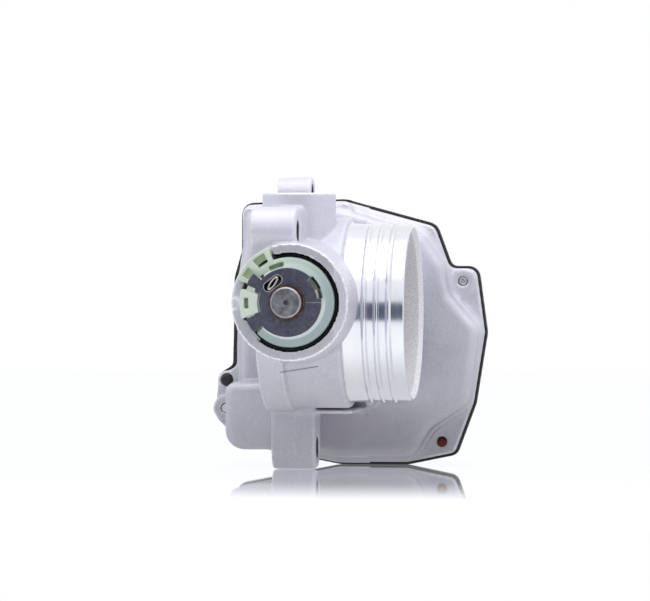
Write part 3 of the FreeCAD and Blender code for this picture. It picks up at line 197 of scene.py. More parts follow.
# the saw left a ragged burr round the ring face and the top boss, and the mould a rough line on the low ear
place = places(casting.data) / mm
x, y, z = place.T
around = np.arctan2(z, x - shaft_x)
burr = 0.09 * ripple(around, (37, 0), (61, 1), (97, 2), (151, 0))
edge = near(np.hypot(x - shaft_x, z), ring_r, 0.5) * (y < -45.0) * (around > -2.9)
place[:, 0] += edge * burr * np.cos(around)
place[:, 2] += edge * burr * np.sin(around)
place[:, 1] -= edge * np.clip(burr, 0, 1) * 0.6
rough = 0.08 * ripple(np.arctan2(y - boss_y, x - boss_x), (19, 0), (43, 1), (71, 0))
boss_edge = near(np.hypot(x - boss_x, y - boss_y), boss_r, 0.5) * (z > 34.8) * (y < boss_y)
place[:, 2] += boss_edge * (rough - 0.08)
wander = 7.9 + 0.25 * np.sin(1.1 * z) + 0.12 * np.sin(3.7 * z)
parting = near(x, wander, 0.35) * (z < -37.6) * (z > -51) * (y < 5.2)
place[:, 1] -= parting * (0.28 + 0.1 * np.sin(5.3 * z) + 0.06 * np.sin(11 * z))
# under the turned sleeve the casting's own skin steps back out of sight
from_spigot = np.hypot(y, z - spigot_z)
mid_wall, sunk_in, sunk_end = 27.9, 0.45, 1.0
outside = (x > 27.6) & (from_spigot > mid_wall)
inside = (x > 26.8) & (from_spigot <= mid_wall) & (from_spigot > 24)
shift = (np.where(outside, -sunk_in, 0.0) + np.where(inside, 0.4, 0.0)) / np.maximum(from_spigot, 1)
place[:, 1] += y * shift
place[:, 2] += (z - spigot_z) * shift
place[:, 0] -= np.where((x > 46.4) & (from_spigot < 31), sunk_end, 0.0)
casting.data.vertices.foreach_set("co", (place * mm).astype(np.float32).ravel())
thin_out(casting, 190000)
shade(casting)


class Nodes:
    """The nodes of one tree, joined as they are made."""

    def __init__(self, tree):
        self.tree = tree

    def feed(self, socket, value):
        if isinstance(value, bpy.types.NodeSocket):
            self.tree.links.new(value, socket)
        else:
            socket.default_value = value

    def add(self, kind, *inputs, **named):
        """A node: names in lower case are its settings, the others its inputs, with _ for a space."""
        node = self.tree.nodes.new(kind)
        for name in [name for name in named if name.islower()]:
            setattr(node, name, named.pop(name))
        for index, value in enumerate(inputs):
            self.feed(node.inputs[index], value)
        for name, value in named.items():
            self.feed(node.inputs[name.replace("_", " ")], value)
        return node

    def sums(self, kind, one, two=0.0):
        """One step of arithmetic, by its name."""
        return self.add("ShaderNodeMath", one, two, operation=kind).outputs[0]

    def times(self, one, two):
        return self.sums("MULTIPLY", one, two)

    def span(self, value, low, high, to_low=0.0, to_high=1.0, step="LINEAR"):
        """Value carried from one span to another, held at its ends."""
        node = self.add("ShaderNodeMapRange", value, low, high, to_low, to_high, interpolation_type=step)
        return node.outputs["Result"]

    def edge(self, *numbers):
        """The same with a soft start and end."""
        return self.span(*numbers, step="SMOOTHSTEP")

    def tint(self, factor, one, two):
        """Colour between two, either of which may be a socket."""
        node = self.add("ShaderNodeMix", data_type="RGBA")
        for index, value in ((0, factor), (6, one), (7, two)):
            self.feed(node.inputs[index], (*value, 1) if isinstance(value, tuple) else value)
        return node.outputs[2]


class Finish(Nodes):
    """A finish being mixed: one shader, with textures that lie still on the piece."""

    def __init__(self, name, colour, metallic, roughness):
        self.material = bpy.data.materials.new(name)
        self.material.use_nodes = True
        super().__init__(self.material.node_tree)
        self.shader = self.tree.nodes["Principled BSDF"]
        self.put(Base_Color=(*colour, 1), Metallic=metallic, Roughness=roughness)
        self.place = self.add("ShaderNodeTexCoord").outputs["Object"]
        self.relief = None

    def put(self, **inputs):
        """Sets inputs of the shader itself from values or sockets."""
        for name, value in inputs.items():
            self.feed(self.shader.inputs[name.replace("_", " ")], value)

    def mapped(self, centre=(0, 0, 0), stretch=(1, 1, 1)):
        """Coordinates about a centre in mm, stretched along the axes."""
        shift = self.add("ShaderNodeVectorMath", self.place, [c * mm for c in centre], operation="SUBTRACT")
        return self.add("ShaderNodeVectorMath", shift.outputs[0], stretch, operation="MULTIPLY").outputs[0]

    def axis(self, letter, centre=(0, 0, 0)):
        """One coordinate in mm from a centre."""
        return self.add("ShaderNodeSeparateXYZ", self.mapped(centre, (1000, 1000, 1000))).outputs[letter]

    def off_line(self, centre, along):
        """Distance in mm from a line through a centre, along X, Y or Z."""
        across = [0 if letter == along else 1000 for letter in "XYZ"]
        node = self.add("ShaderNodeVectorMath", self.mapped(centre, across), operation="LENGTH")
        return node.outputs["Value"]

    def noise(self, size, detail=3.0, stretch=(1, 1, 1), rough=0.55):
        """Cloudy value, 0 to 1, with patches of about this size in mm."""
        return self.add(
            "ShaderNodeTexNoise", Vector=self.mapped(stretch=stretch), Scale=1 / (size * mm), Detail=detail,
            Roughness=rough,
        ).outputs["Fac"]

    def cells(self, size):
        """Pebbled value with cells of about this size in mm."""
        node = self.add("ShaderNodeTexVoronoi", Vector=self.mapped(), Scale=1 / (size * mm))
        return node.outputs["Distance"]

    def clouds(self, value, dark, light):
        """Two colours mixed in soft patches."""
        return self.tint(self.span(value, 0.35, 0.7), dark, light)

    def colour(self, value):
        self.put(Base_Color=value)

    def roughness(self, value, low, high):
        """Roughness that varies from low to high with a cloudy value."""
        self.put(Roughness=self.span(value, 0.3, 0.7, low, high))

    def bump(self, height, depth, strength=1.0):
        """Adds relief of this depth in mm on top of what is there."""
        node = self.add("ShaderNodeBump", Strength=strength, Distance=depth * mm, Height=height)
        if self.relief:
            self.feed(node.inputs["Normal"], self.relief)
        self.relief = node.outputs["Normal"]
        self.put(Normal=self.relief)


def cast_aluminium():
    """Blasted casting: fine grain, faint stains, chipped bright edges on ring and boss, darker milled faces,
    painted highlight on the edges and the top, and painted shade at the foot, in creases, at the well's mouth
    and in the holes.
    """
    finish = Finish("cast_aluminium", (0.66, 0.66, 0.70), 0.5, 0.5)
    stains = finish.span(finish.noise(19, 4), 0.36, 0.66)
    grain = finish.noise(0.55, 2, rough=0.7)
    blasted = finish.tint(stains, (0.58, 0.57, 0.64), (0.69, 0.68, 0.755))
    flecks = finish.span(grain, 0.42, 0.60)
    blasted = finish.tint(finish.times(flecks, 0.42), blasted, (0.80, 0.79, 0.87))
    # painted shade darkens the foot, and more of it the low part of the gear case; painted light makes the
    # top paler
    painted_foot_shade = finish.times(finish.span(finish.axis("Z"), -8, -56), 0.45)
    blasted = finish.tint(painted_foot_shade, blasted, (0.34, 0.335, 0.365))
    painted_low_case_shade = finish.times(finish.span(finish.axis("Z"), -34, -56), finish.span(finish.axis("Y"), 25, 33))
    blasted = finish.tint(finish.times(painted_low_case_shade, 0.5), blasted, (0.25, 0.245, 0.27))
    painted_top_light = finish.times(finish.span(finish.axis("Z"), -5, 32), 0.5)
    blasted = finish.tint(painted_top_light, blasted, (0.82, 0.81, 0.90))
    # milled ring face
    front = finish.span(finish.axis("Y"), -45.75, -45.9)
    milled = finish.tint(grain, (0.47, 0.47, 0.515), (0.72, 0.72, 0.77))
    skin_colour = finish.tint(front, blasted, milled)
    # the saw-cut edge of the ring and of the top boss is chipped bright
    to_shaft = finish.off_line((shaft_x, 0, 0), "Y")
    chips = finish.times(finish.sums("SUBTRACT", finish.noise(1.1, 3), 0.5), 1.6)
    ring_edge = finish.span(finish.sums("ADD", to_shaft, chips), 18.25, 18.55)
    ring_edge = finish.times(ring_edge, finish.span(finish.axis("Y"), -44.6, -45.3))
    boss_edge = finish.span(finish.sums("ADD", finish.axis("Z"), chips), 34.5, 34.9)
    boss_edge = finish.times(boss_edge, finish.span(finish.axis("Y"), 1, 0))
    bright = finish.sums("MAXIMUM", ring_edge, finish.times(boss_edge, 0.4))
    skin_colour = finish.tint(bright, skin_colour, (0.96, 0.96, 1.0))
    # painted shade: the mouth of the well round the spring is painted near-black, as the dark gap there
    wear_and_shade = finish.span(to_shaft, 16.1, 15.95)
    wear_and_shade = finish.times(wear_and_shade, finish.span(finish.axis("Y"), -30, -31))
    wear_and_shade = finish.times(wear_and_shade, finish.span(finish.axis("X"), 2.4, 3.2))
    skin_colour = finish.tint(wear_and_shade, skin_colour, (0.03, 0.03, 0.034))
    # bright edges: painted highlight along the edges and fillets, broken into patches like wear
    pointed = finish.add("ShaderNodeNewGeometry").outputs["Pointiness"]
    painted_edge_highlight = finish.span(pointed, 0.512, 0.565)
    painted_edge_highlight = finish.times(painted_edge_highlight, finish.span(finish.noise(2.2, 3), 0.2, 0.55))
    skin_colour = finish.tint(finish.times(painted_edge_highlight, 0.85), skin_colour, (0.97, 0.965, 1.0))
    # a fine scribed line under the ring, and painted shade in the corners and creases
    along = finish.sums("SUBTRACT", finish.axis("Z"), finish.times(finish.axis("X"), 0.157))
    scribed = finish.span(finish.sums("ABSOLUTE", finish.sums("ADD", along, 24.1)), 0.26, 0.12)
    for letter, low, high in (("X", 7.3, 7.6), ("X", 20.0, 19.6), ("Y", -8.0, -9.0)):
        scribed = finish.times(scribed, finish.span(finish.axis(letter), low, high))
    skin_colour = finish.tint(finish.times(scribed, 0.72), skin_colour, (0.10, 0.10, 0.12))
    # painted shade: where the surface is sunk in corners and creases it is painted darker
    sunk = finish.span(pointed, 0.488, 0.43)
    skin_colour = finish.tint(finish.times(sunk, 0.5), skin_colour, (0.33, 0.33, 0.37))
    # painted shade darkens the drilled walls of the three mounting holes
    for spot in mounting_holes:
        hole_shade = finish.span(finish.off_line(spot, "X"), hole_r + 0.15, hole_r)
        hole_shade = finish.times(hole_shade, finish.span(finish.axis("X"), 14.5, 14.3))
        skin_colour = finish.tint(hole_shade, skin_colour, (0.06, 0.06, 0.075))
    finish.colour(skin_colour)
    rough = finish.span(finish.noise(7, 3), 0.3, 0.7, 0.46, 0.62)
    finish.put(Roughness=finish.sums("SUBTRACT", rough, finish.times(front, 0.06)))
    finish.bump(finish.noise(9, 2), 0.10, 0.5)
    finish.bump(finish.cells(0.7), 0.035, 0.55)
    finish.bump(grain, 0.06, 0.6)
    return finish.material


casting.data.materials.append(cast_aluminium())
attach(casting, "root")
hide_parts("throttle_housing")

# ---------------------------------------------------------------- hose spigot
# The end of the duct is turned bright in a lathe for the hose: a thin wall, three beads and a rounded rim.
# Its tool left fine rings, which lie as a sleeve over the casting's own wall.
spigot_r, mouth_r, spigot_end = 29.2, 26.5, 47.8
bead_first, bead_pitch, bead_rise, bead_foot = 34.8, 3.95, 0.8, 0.09
wall_from, rim_round = 26.3, 0.55


def revolved(name, rings, sides, centre=(0, 0, 0), axis="x", closed=True):
    """Surface round an axis from rings of (radius, distance along) in mm; a radius may follow the angle."""
    mesh = bpy.data.meshes.new(name)
    bm = bmesh.new()
    loops = []
    for radius, along in rings:
        loop = []
        for k in range(sides):
            angle = 2 * math.pi * k / sides
            r = radius(angle) if callable(radius) else radius
            a, b = r * math.cos(angle), r * math.sin(angle)
            spot = (along, a, b) if axis == "x" else (a, along, b)
            loop.append(bm.verts.new([(s + c) * mm for s, c in zip(spot, centre)]))
        loops.append(loop)
    pairs = list(zip(loops, loops[1:] + loops[:1])) if closed else list(zip(loops, loops[1:]))
    for low, high in pairs:
        for k in range(sides):
            bm.faces.new((low[k], low[(k + 1) % sides], high[(k + 1) % sides], high[k]))
    if not closed:
        bm.faces.new(loops[0])
        bm.faces.new(loops[-1])
    bmesh.ops.recalc_face_normals(bm, faces=bm.faces)
    bm.to_mesh(mesh)
    bm.free()
    piece = bpy.data.objects.new(name, mesh)
    scene.collection.objects.link(piece)
    return piece


def arc(centre_r, centre_along, radius, start, end, steps):
    """Points of a rounded corner, from one angle to another in degrees."""
    turns = [math.radians(start + (end - start) * k / steps) for k in range(steps + 1)]
    return [(centre_r + radius * math.sin(t), centre_along + radius * math.cos(t)) for t in turns]


rings = [(30.4, wall_from), *arc(30.15, 27.15, 0.25, 90, 0, 3), (29.6, 27.75), (29.35, 28.2)]
for bead in range(3):
    middle = bead_first + bead * bead_pitch
    rings += [(spigot_r, middle - 1.05), (spigot_r - bead_foot, middle - 0.9)]
    for k in range(1, 10):
        rings.append((spigot_r + bead_rise * math.sin(math.pi * k / 10) ** 0.7, middle - 0.8 + 0.16 * k))
    rings += [(spigot_r - bead_foot, middle + 0.9), (spigot_r, middle + 1.05)]
rings += [(spigot_r, 46.6), *arc(spigot_r - rim_round, spigot_end - rim_round, rim_round, 90, 0, 5)]
rings += [(28.0, spigot_end), (27.7, spigot_end - 0.12), (mouth_r + 0.25, 46.5), (mouth_r, 46.2)]
rings += [(mouth_r, wall_from)]
spigot = revolved("hose_spigot", rings, 256, centre=(0, 0, spigot_z))
shade(spigot)


def turned_aluminium():
    """Bright turned metal: fine rings along the axis and a faint film that breaks the shine."""
    finish = Finish("turned_aluminium", (0.90, 0.91, 0.95), 1.0, 0.16)
    rings = finish.noise(0.14, 2, stretch=(1, 0.02, 0.02))
    coarse = finish.noise(1.3, 2, stretch=(1, 0.03, 0.03))
    film = finish.noise(12, 3, stretch=(1, 0.5, 0.5))
    # inside, the wall is left as cast and blasted; it is turned bright towards the front
    as_cast = finish.span(finish.off_line((0, 0, spigot_z), "X"), 28.3, 28.1)
    as_cast = finish.times(as_cast, finish.span(finish.axis("Y"), -20, -10))
    grain = finish.noise(0.45, 2, rough=0.7)
    bright = finish.clouds(film, (0.84, 0.85, 0.90), (0.92, 0.925, 0.95))
    blasted = finish.tint(finish.span(grain, 0.35, 0.65), (0.74, 0.73, 0.78), (1.0, 0.99, 1.0))
    finish.colour(finish.tint(as_cast, bright, blasted))
    shine = finish.span(finish.sums("ADD", rings, film), 0.7, 1.3, 0.12, 0.25)
    dulled = finish.sums("ADD", shine, finish.times(as_cast, 0.4))
    finish.put(Metallic=finish.span(as_cast, 0, 1, 1.0, 0.1), Roughness=dulled)
    finish.bump(finish.times(grain, as_cast), 0.06, 0.6)
    finish.bump(coarse, 0.02, 0.4)
    finish.bump(rings, 0.006, 0.5)
    return finish.material


spigot.data.materials.append(turned_aluminium())
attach(spigot, "root")
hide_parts("throttle_housing")

# ---------------------------------------------------------------- gear case cover and seal
# A black glass-filled nylon moulding closes the gear case and carries the harness socket; a flat rubber seal
# lies under its rim. Moulded edges are soft, and its skin has a fine spark grain.
cover = skin(merged_copy("gear_case_cover", "gear_cover"), cast_cell)
soften(cover, 4, lambda place: np.where(place[:, 1] < 49.0, 0.35, 0.9))
thin_out(cover, 150000)
shade(cover)


def black_nylon():
    finish = Finish("black_nylon", (0.018, 0.018, 0.020), 0.0, 0.5)
    flow = finish.noise(14, 3, stretch=(1, 1, 0.4))
    grain = finish.noise(0.35, 2, rough=0.7)
    finish.colour(finish.clouds(flow, (0.013, 0.013, 0.015), (0.032, 0.032, 0.036)))
    finish.put(Roughness=finish.span(finish.sums("ADD", flow, grain), 0.7, 1.3, 0.40, 0.62))
    finish.bump(finish.cells(0.5), 0.02, 0.5)
    finish.bump(grain, 0.03, 0.4)
    return finish.material


cover.data.materials.append(black_nylon())
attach(cover, "root")
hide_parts("gear_cover")


def dress(finish, *names):
    """Gives CAD nodes their finish."""
    for name in names:
        if nodes[name].material_slots:
            for slot in nodes[name].material_slots:
                slot.material = finish
        else:
            nodes[name].data.materials.append(finish)


def seal_rubber():
    finish = Finish("seal_rubber", (0.022, 0.022, 0.024), 0.0, 0.7)
    dust = finish.noise(3, 4)
    finish.colour(finish.tint(finish.span(dust, 0.45, 0.75), (0.016, 0.016, 0.018), (0.05, 0.05, 0.054)))
    finish.roughness(dust, 0.58, 0.82)
    finish.bump(finish.noise(0.25, 2), 0.02, 0.5)
    return finish.material


rubber = seal_rubber()
dress(rubber, "cover_seal", "front_shaft_seal", "rear_shaft_seal")

# ---------------------------------------------------------------- cover screws
# Five zinc-plated thread-forming screws with hexagon sockets hold the cover; three come out at the front of
# the flange. One tip still has its brown locking compound.


def solids_of(name):
    """Box of each separate solid in a CAD node: lowest and highest corner in mm."""
    bm = bmesh.new()
    bm.from_mesh(nodes[name].data)
    bmesh.ops.remove_doubles(bm, verts=bm.verts, dist=weld)
    boxes = []
    left = set(bm.verts)
    while left:
        group, edge_of = [], [left.pop()]
        while edge_of:
            vert = edge_of.pop()
            group.append(vert.co[:])
            for link in vert.link_edges:
                other = link.other_vert(vert)
                if other in left:
                    left.remove(other)
                    edge_of.append(other)
        spots = np.array(group) / mm
        boxes.append((spots.min(0), spots.max(0)))
    bm.free()
    return sorted(boxes, key=lambda box: tuple(box[0]))


def hexagon(across):
    """Radius of a hexagon of this width across its corners, by the angle."""
    def radius(angle):
        off = (angle + math.pi / 6) % (math.pi / 3) - math.pi / 6
        return across / 2 * math.cos(math.pi / 6) / math.cos(off)
    return radius


def thread(core, height, along, pitch):
    """Radius of a thread at one place along the screw, by the angle."""
    def radius(angle):
        phase = (along / pitch - angle / (2 * math.pi)) % 1
        return core + height * max(0.0, 1 - abs(phase - 0.5) * 3.2)
    return radius


screw_boxes = solids_of("cover_screws")
screw_length = max(high[1] - low[1] for low, high in screw_boxes)
head_r, head_tall, thread_pitch = 3.4, 2.4, 0.9
shank = screw_length - head_tall
screw_rings = [(0.9, -shank), (1.15, -shank + 0.25)]
steps = int((shank - 0.5) / (thread_pitch / 6))
for k in range(steps):
    along = -shank + 0.45 + k * thread_pitch / 6
    screw_rings.append((thread(1.28, 0.3, along, thread_pitch), along))
screw_rings += [(1.45, -0.12), (head_r - 0.25, 0), (head_r, 0.2), (head_r, 1.7), (head_r - 0.2, 2.1)]
screw_rings += [(head_r - 0.7, head_tall), (2.0, head_tall), (hexagon(3.4), head_tall - 0.05)]
screw_rings += [(hexagon(3.0), head_tall - 0.35), (hexagon(3.0), head_tall - 1.7), (0.3, head_tall - 1.8)]
one_screw = revolved("one_screw", screw_rings, 48, axis="y", closed=False)
shade(one_screw)


class Tree(Nodes):
    """A node tree that builds a mesh, with named inputs."""

    def __init__(self, name, inputs):
        super().__init__(bpy.data.node_groups.new(name, "GeometryNodeTree"))
        self.values = []
        face = self.tree.interface
        face.new_socket("Geometry", in_out="INPUT", socket_type="NodeSocketGeometry")
        for label, kind, value in inputs:
            socket = face.new_socket(label, in_out="INPUT", socket_type=kind)
            self.values.append((socket.identifier, value))
        face.new_socket("Geometry", in_out="OUTPUT", socket_type="NodeSocketGeometry")
        self.entry = self.add("NodeGroupInput")

    def given(self, label):
        return self.entry.outputs[label]

    def ends_in(self, geometry, material):
        """Realize Instances, then Set Material, then out."""
        whole = self.add("GeometryNodeRealizeInstances", Geometry=geometry)
        painted = self.add("GeometryNodeSetMaterial", Geometry=whole.outputs[0], Material=material)
        self.add("NodeGroupOutput", painted.outputs[0])

    def build(self, name, seed_points):
        """A plain mesh piece: the tree run on a mesh of points given in mm."""
        mesh = bpy.data.meshes.new(name)
        mesh.from_pydata([[c * mm for c in spot] for spot in seed_points], [], [])
        piece = bpy.data.objects.new(name, mesh)
        scene.collection.objects.link(piece)
        modifier = piece.modifiers.new("tree", "NODES")
        modifier.node_group = self.tree
        for identifier, value in self.values:
            modifier[identifier] = value
        return settle(piece)


def zinc():
    """Bright zinc plate with a cool tint; the tip at the lower right keeps its locking compound."""
    finish = Finish("zinc_plate", (0.74, 0.78, 0.80), 1.0, 0.28)
    cloud = finish.noise(1.6, 3)
    plated = finish.clouds(cloud, (0.62, 0.68, 0.72), (0.84, 0.86, 0.86))
    locked = finish.times(finish.span(finish.axis("Z"), -42, -43), finish.span(finish.axis("X"), 44, 45))
    locked = finish.times(locked, finish.span(finish.axis("Y"), 46.5, 45.5))
    compound = finish.tint(finish.noise(0.5, 2), (0.09, 0.018, 0.014), (0.20, 0.05, 0.035))
    finish.colour(finish.tint(locked, plated, compound))
    finish.roughness(cloud, 0.22, 0.42)
    finish.bump(finish.noise(0.3, 2), 0.01, 0.5)
    return finish.material


zinc_plate = zinc()
screw_tree = Tree("screws_on_points", [("Screw", "NodeSocketObject", one_screw)])
screw_source = screw_tree.add("GeometryNodeObjectInfo", Object=screw_tree.given("Screw"))
screw_copies = screw_tree.add(
    "GeometryNodeInstanceOnPoints", Points=screw_tree.entry.outputs["Geometry"],
    Instance=screw_source.outputs["Geometry"],
)
screw_tree.ends_in(screw_copies.outputs[0], zinc_plate)
head_seats = [
    ((low[0] + high[0]) / 2, high[1] - head_tall, (low[2] + high[2]) / 2) for low, high in screw_boxes
]
screws = screw_tree.build("case_screws", head_seats)
bpy.data.objects.remove(one_screw)
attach(screws, "root")
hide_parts("cover_screws")
dress(zinc_plate, "plate_screws")

# ---------------------------------------------------------------- throttle shaft, plate and front bush
# The shaft is ground steel with a centre dimple in its faced end. A brass disc is screwed into its slot,
# and a sintered bronze bush, brown with oil, carries its front end.


def crisp(name, source, bevel, material, body, sharp=30.0):
    """A merged copy of a machined or stamped CAD node with its sharp edges lightly broken."""
    piece = merged_copy(name, source)
    bm = bmesh.new()
    bm.from_mesh(piece.data)
    bmesh.ops.dissolve_limit(
        bm, angle_limit=math.radians(0.6), verts=bm.verts, edges=bm.edges, use_dissolve_boundaries=False
    )
    bm.to_mesh(piece.data)
    bm.free()
    modifier = piece.modifiers.new("broken_edges", "BEVEL")
    modifier.width = bevel * mm
    modifier.segments = 2
    modifier.limit_method = "ANGLE"
    modifier.angle_limit = math.radians(sharp)
    modifier.use_clamp_overlap = True
    settle(piece)
    shade(piece)
    piece.data.materials.append(material)
    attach(piece, body)
    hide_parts(source)


def ground_steel(name, colour, centre):
    """Ground along its length, with the rings of the facing tool on the ends."""
    finish = Finish(name, colour, 1.0, 0.34)
    rings = finish.sums("SINE", finish.times(finish.off_line(centre, "Y"), 11.0))
    rings = finish.span(finish.sums("ADD", rings, finish.times(finish.noise(1.1, 3), 2.0)), -1, 3)
    wear = finish.noise(2.2, 4)
    dark = tuple(c * 0.72 for c in colour)
    light = tuple(min(1.0, c * 1.28) for c in colour)
    finish.colour(finish.tint(finish.times(rings, finish.span(wear, 0.3, 0.65)), dark, light))
    finish.roughness(wear, 0.28, 0.46)
    finish.bump(rings, 0.012, 0.5)
    return finish.material


shaft_steel = ground_steel("ground_shaft_steel", (0.42, 0.41, 0.44), (shaft_x, 0, 0))
crisp("shaft_bar", "throttle_shaft", 0.2, shaft_steel, "shaft")


def plate_brass():
    finish = Finish("plate_brass", (0.70, 0.57, 0.33), 1.0, 0.34)
    lines = finish.noise(0.2, 2, stretch=(1, 1, 0.03))
    tarnish = finish.noise(8, 4)
    finish.colour(finish.clouds(tarnish, (0.55, 0.42, 0.23), (0.78, 0.66, 0.41)))
    finish.roughness(tarnish, 0.28, 0.48)
    finish.bump(lines, 0.01, 0.5)
    return finish.material


brass = plate_brass()
crisp("butterfly_disc", "throttle_plate", 0.1, brass, "shaft", sharp=40)


def sintered_bronze():
    """Porous bronze soaked in dark oil, rubbed bright at its edge."""
    finish = Finish("sintered_bronze", (0.16, 0.075, 0.06), 0.85, 0.4)
    pores = finish.noise(0.35, 3, rough=0.7)
    to_shaft = finish.off_line((shaft_x, 0, 0), "Y")
    turned = finish.span(finish.sums("SINE", finish.times(to_shaft, 14.0)), 0.55, 0.95)
    wear_and_shade = finish.times(turned, finish.span(finish.noise(2.6, 3), 0.42, 0.6))
    oily = finish.tint(pores, (0.055, 0.024, 0.021), (0.19, 0.085, 0.068))
    finish.colour(finish.tint(finish.times(wear_and_shade, 0.8), oily, (0.66, 0.45, 0.40)))
    finish.roughness(pores, 0.3, 0.52)
    finish.bump(pores, 0.03, 0.6)
    return finish.material


bronze = sintered_bronze()
crisp("front_bush", "bronze_bush", 0.12, bronze, "root")
dress(bronze, "motor_front_bush", "motor_rear_bush")

# ---------------------------------------------------------------- return spring
# A coil of black oiled music wire winds from the edge of the lug opening into the well.
# It turns clockwise as it goes in, and both ends are cut square.
spring_low, spring_high = (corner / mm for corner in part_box("return_spring"))
wire_r = 0.62
coil_r = 15.15
coil_turns = 4.5
coil_start = 107.0


def black_wire():
    finish = Finish("black_oiled_wire", (0.012, 0.012, 0.013), 0.6, 0.24)
    oil = finish.noise(2.4, 3)
    finish.colour(finish.tint(oil, (0.006, 0.006, 0.007), (0.026, 0.026, 0.028)))
    finish.roughness(oil, 0.16, 0.34)
    finish.bump(finish.noise(0.3, 2), 0.008, 0.4)
    return finish.material


coil_tree = Tree("coil", [
    ("Coil radius", "NodeSocketFloat", coil_r * mm), ("Wire radius", "NodeSocketFloat", wire_r * mm),
    ("Turns", "NodeSocketFloat", coil_turns),
    ("Depth", "NodeSocketFloat", (spring_high[1] - spring_low[1] - 2 * wire_r) * mm),
])
spiral = coil_tree.add(
    "GeometryNodeCurveSpiral", Resolution=64, Rotations=coil_tree.given("Turns"),
    Start_Radius=coil_tree.given("Coil radius"), End_Radius=coil_tree.given("Coil radius"),
    Height=coil_tree.given("Depth"),
)
laid = coil_tree.add(
    "GeometryNodeTransform", Geometry=spiral.outputs[0],
    Rotation=(-math.pi / 2, -math.radians(coil_start), 0),
    Translation=(shaft_x * mm, (spring_low[1] + wire_r) * mm, 0),
)
wire_section = coil_tree.add(
    "GeometryNodeCurvePrimitiveCircle", Resolution=14, Radius=coil_tree.given("Wire radius")
)
wire = coil_tree.add(
    "GeometryNodeCurveToMesh", Curve=laid.outputs[0], Profile_Curve=wire_section.outputs[0], Fill_Caps=True
)
coil_tree.ends_in(wire.outputs[0], black_wire())
spring = coil_tree.build("return_coil", [(0, 0, 0)])
shade(spring, weighted=False)
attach(spring, "root")
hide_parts("return_spring")

# ---------------------------------------------------------------- spring sleeve
# A pale green acetal moulding lines the spring well: a dished ring whose two lugs lock in the boss wall,
# with a keyed block. The plastic lets a little light through, and all its edges are moulded round.
sleeve = skin(merged_copy("mint_sleeve", "spring_sleeve"), 0.19 * mm)
soften(sleeve, 5, lambda place: np.ones(len(place)))
thin_out(sleeve, 160000)
shade(sleeve)


def mint_acetal():
    finish = Finish("mint_acetal", (0.36, 0.44, 0.42), 0.0, 0.30)
    flow = finish.span(finish.noise(11, 2), 0.35, 0.7)
    radius = finish.off_line((shaft_x, 0, 0), "Y")
    # thin wall of the ring: painted light and shade, paler at the top left, bluer and darker round to the
    # right
    painted_shade_rightwards = finish.span(finish.sums("SUBTRACT", finish.axis("X"), finish.axis("Z")), -4, 22)
    ring = finish.tint(painted_shade_rightwards, (0.54, 0.64, 0.57), (0.36, 0.455, 0.455))
    # solid lugs and keyed block: creamier, with yellow-green floors in their pockets
    sunk = finish.tint(finish.span(finish.axis("Y"), -46.55, -46.2), (0.68, 0.77, 0.66), (0.66, 0.74, 0.50))
    left = finish.span(finish.sums("SUBTRACT", finish.axis("X"), finish.times(finish.axis("Z"), 0.35)), 7, 3)
    left = finish.times(left, finish.span(finish.axis("Z"), -8.5, -7.5))
    body = finish.tint(left, ring, sunk)
    # painted highlight: the rolled inner lip is painted bright all round the plate
    lip_highlight = finish.times(finish.span(radius, 12.0, 11.7), finish.span(finish.axis("Z"), 3, -1))
    lip_highlight = finish.times(lip_highlight, finish.span(finish.axis("X"), 3, 4))
    body = finish.tint(finish.times(lip_highlight, 0.85), body, (0.82, 0.86, 0.84))
    # in the plate's recess the sleeve's inner lip shows, and beyond it the gap down to the well is painted
    # near-black as shade
    steep = finish.times(finish.axis("X", (shaft_x, 0, 0)), 1.05)
    recess = finish.span(finish.sums("SUBTRACT", finish.axis("Z"), steep), 0.4, 0.0)
    recess = finish.times(recess, finish.span(finish.axis("Z"), 1.2, 1.5))
    recess = finish.times(recess, finish.span(radius, 11.5, 11.3))
    body = finish.tint(recess, body, (0.62, 0.63, 0.54))
    gap = finish.times(recess, finish.span(radius, 10.25, 10.4))
    body = finish.tint(gap, body, (0.012, 0.014, 0.014))
    finish.colour(finish.tint(finish.times(flow, 0.10), body, (0.72, 0.80, 0.75)))
    finish.roughness(finish.noise(3, 3), 0.26, 0.40)
    finish.put(Subsurface_Weight=0.2, Subsurface_Radius=(1.0, 1.2, 1.0), Subsurface_Scale=0.6 * mm)
    finish.put(Coat_Weight=0.25, Coat_Roughness=0.12)
    finish.bump(finish.noise(0.8, 2), 0.012, 0.4)
    return finish.material


sleeve.data.materials.append(mint_acetal())
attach(sleeve, "root")
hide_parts("spring_sleeve")

# ---------------------------------------------------------------- retaining plate and spring hook
# A stamped blue-black steel plate holds the sleeve in. The spring's hooked end, of bright wire, comes up
# through its slot; a fine line is scribed from the shaft to the plate's right edge.


slot_middle, slot_turn, slot_half, slot_r = (8.44, -51, 6.15), math.radians(38), 1.85, 1.03
loop_y = -51.25


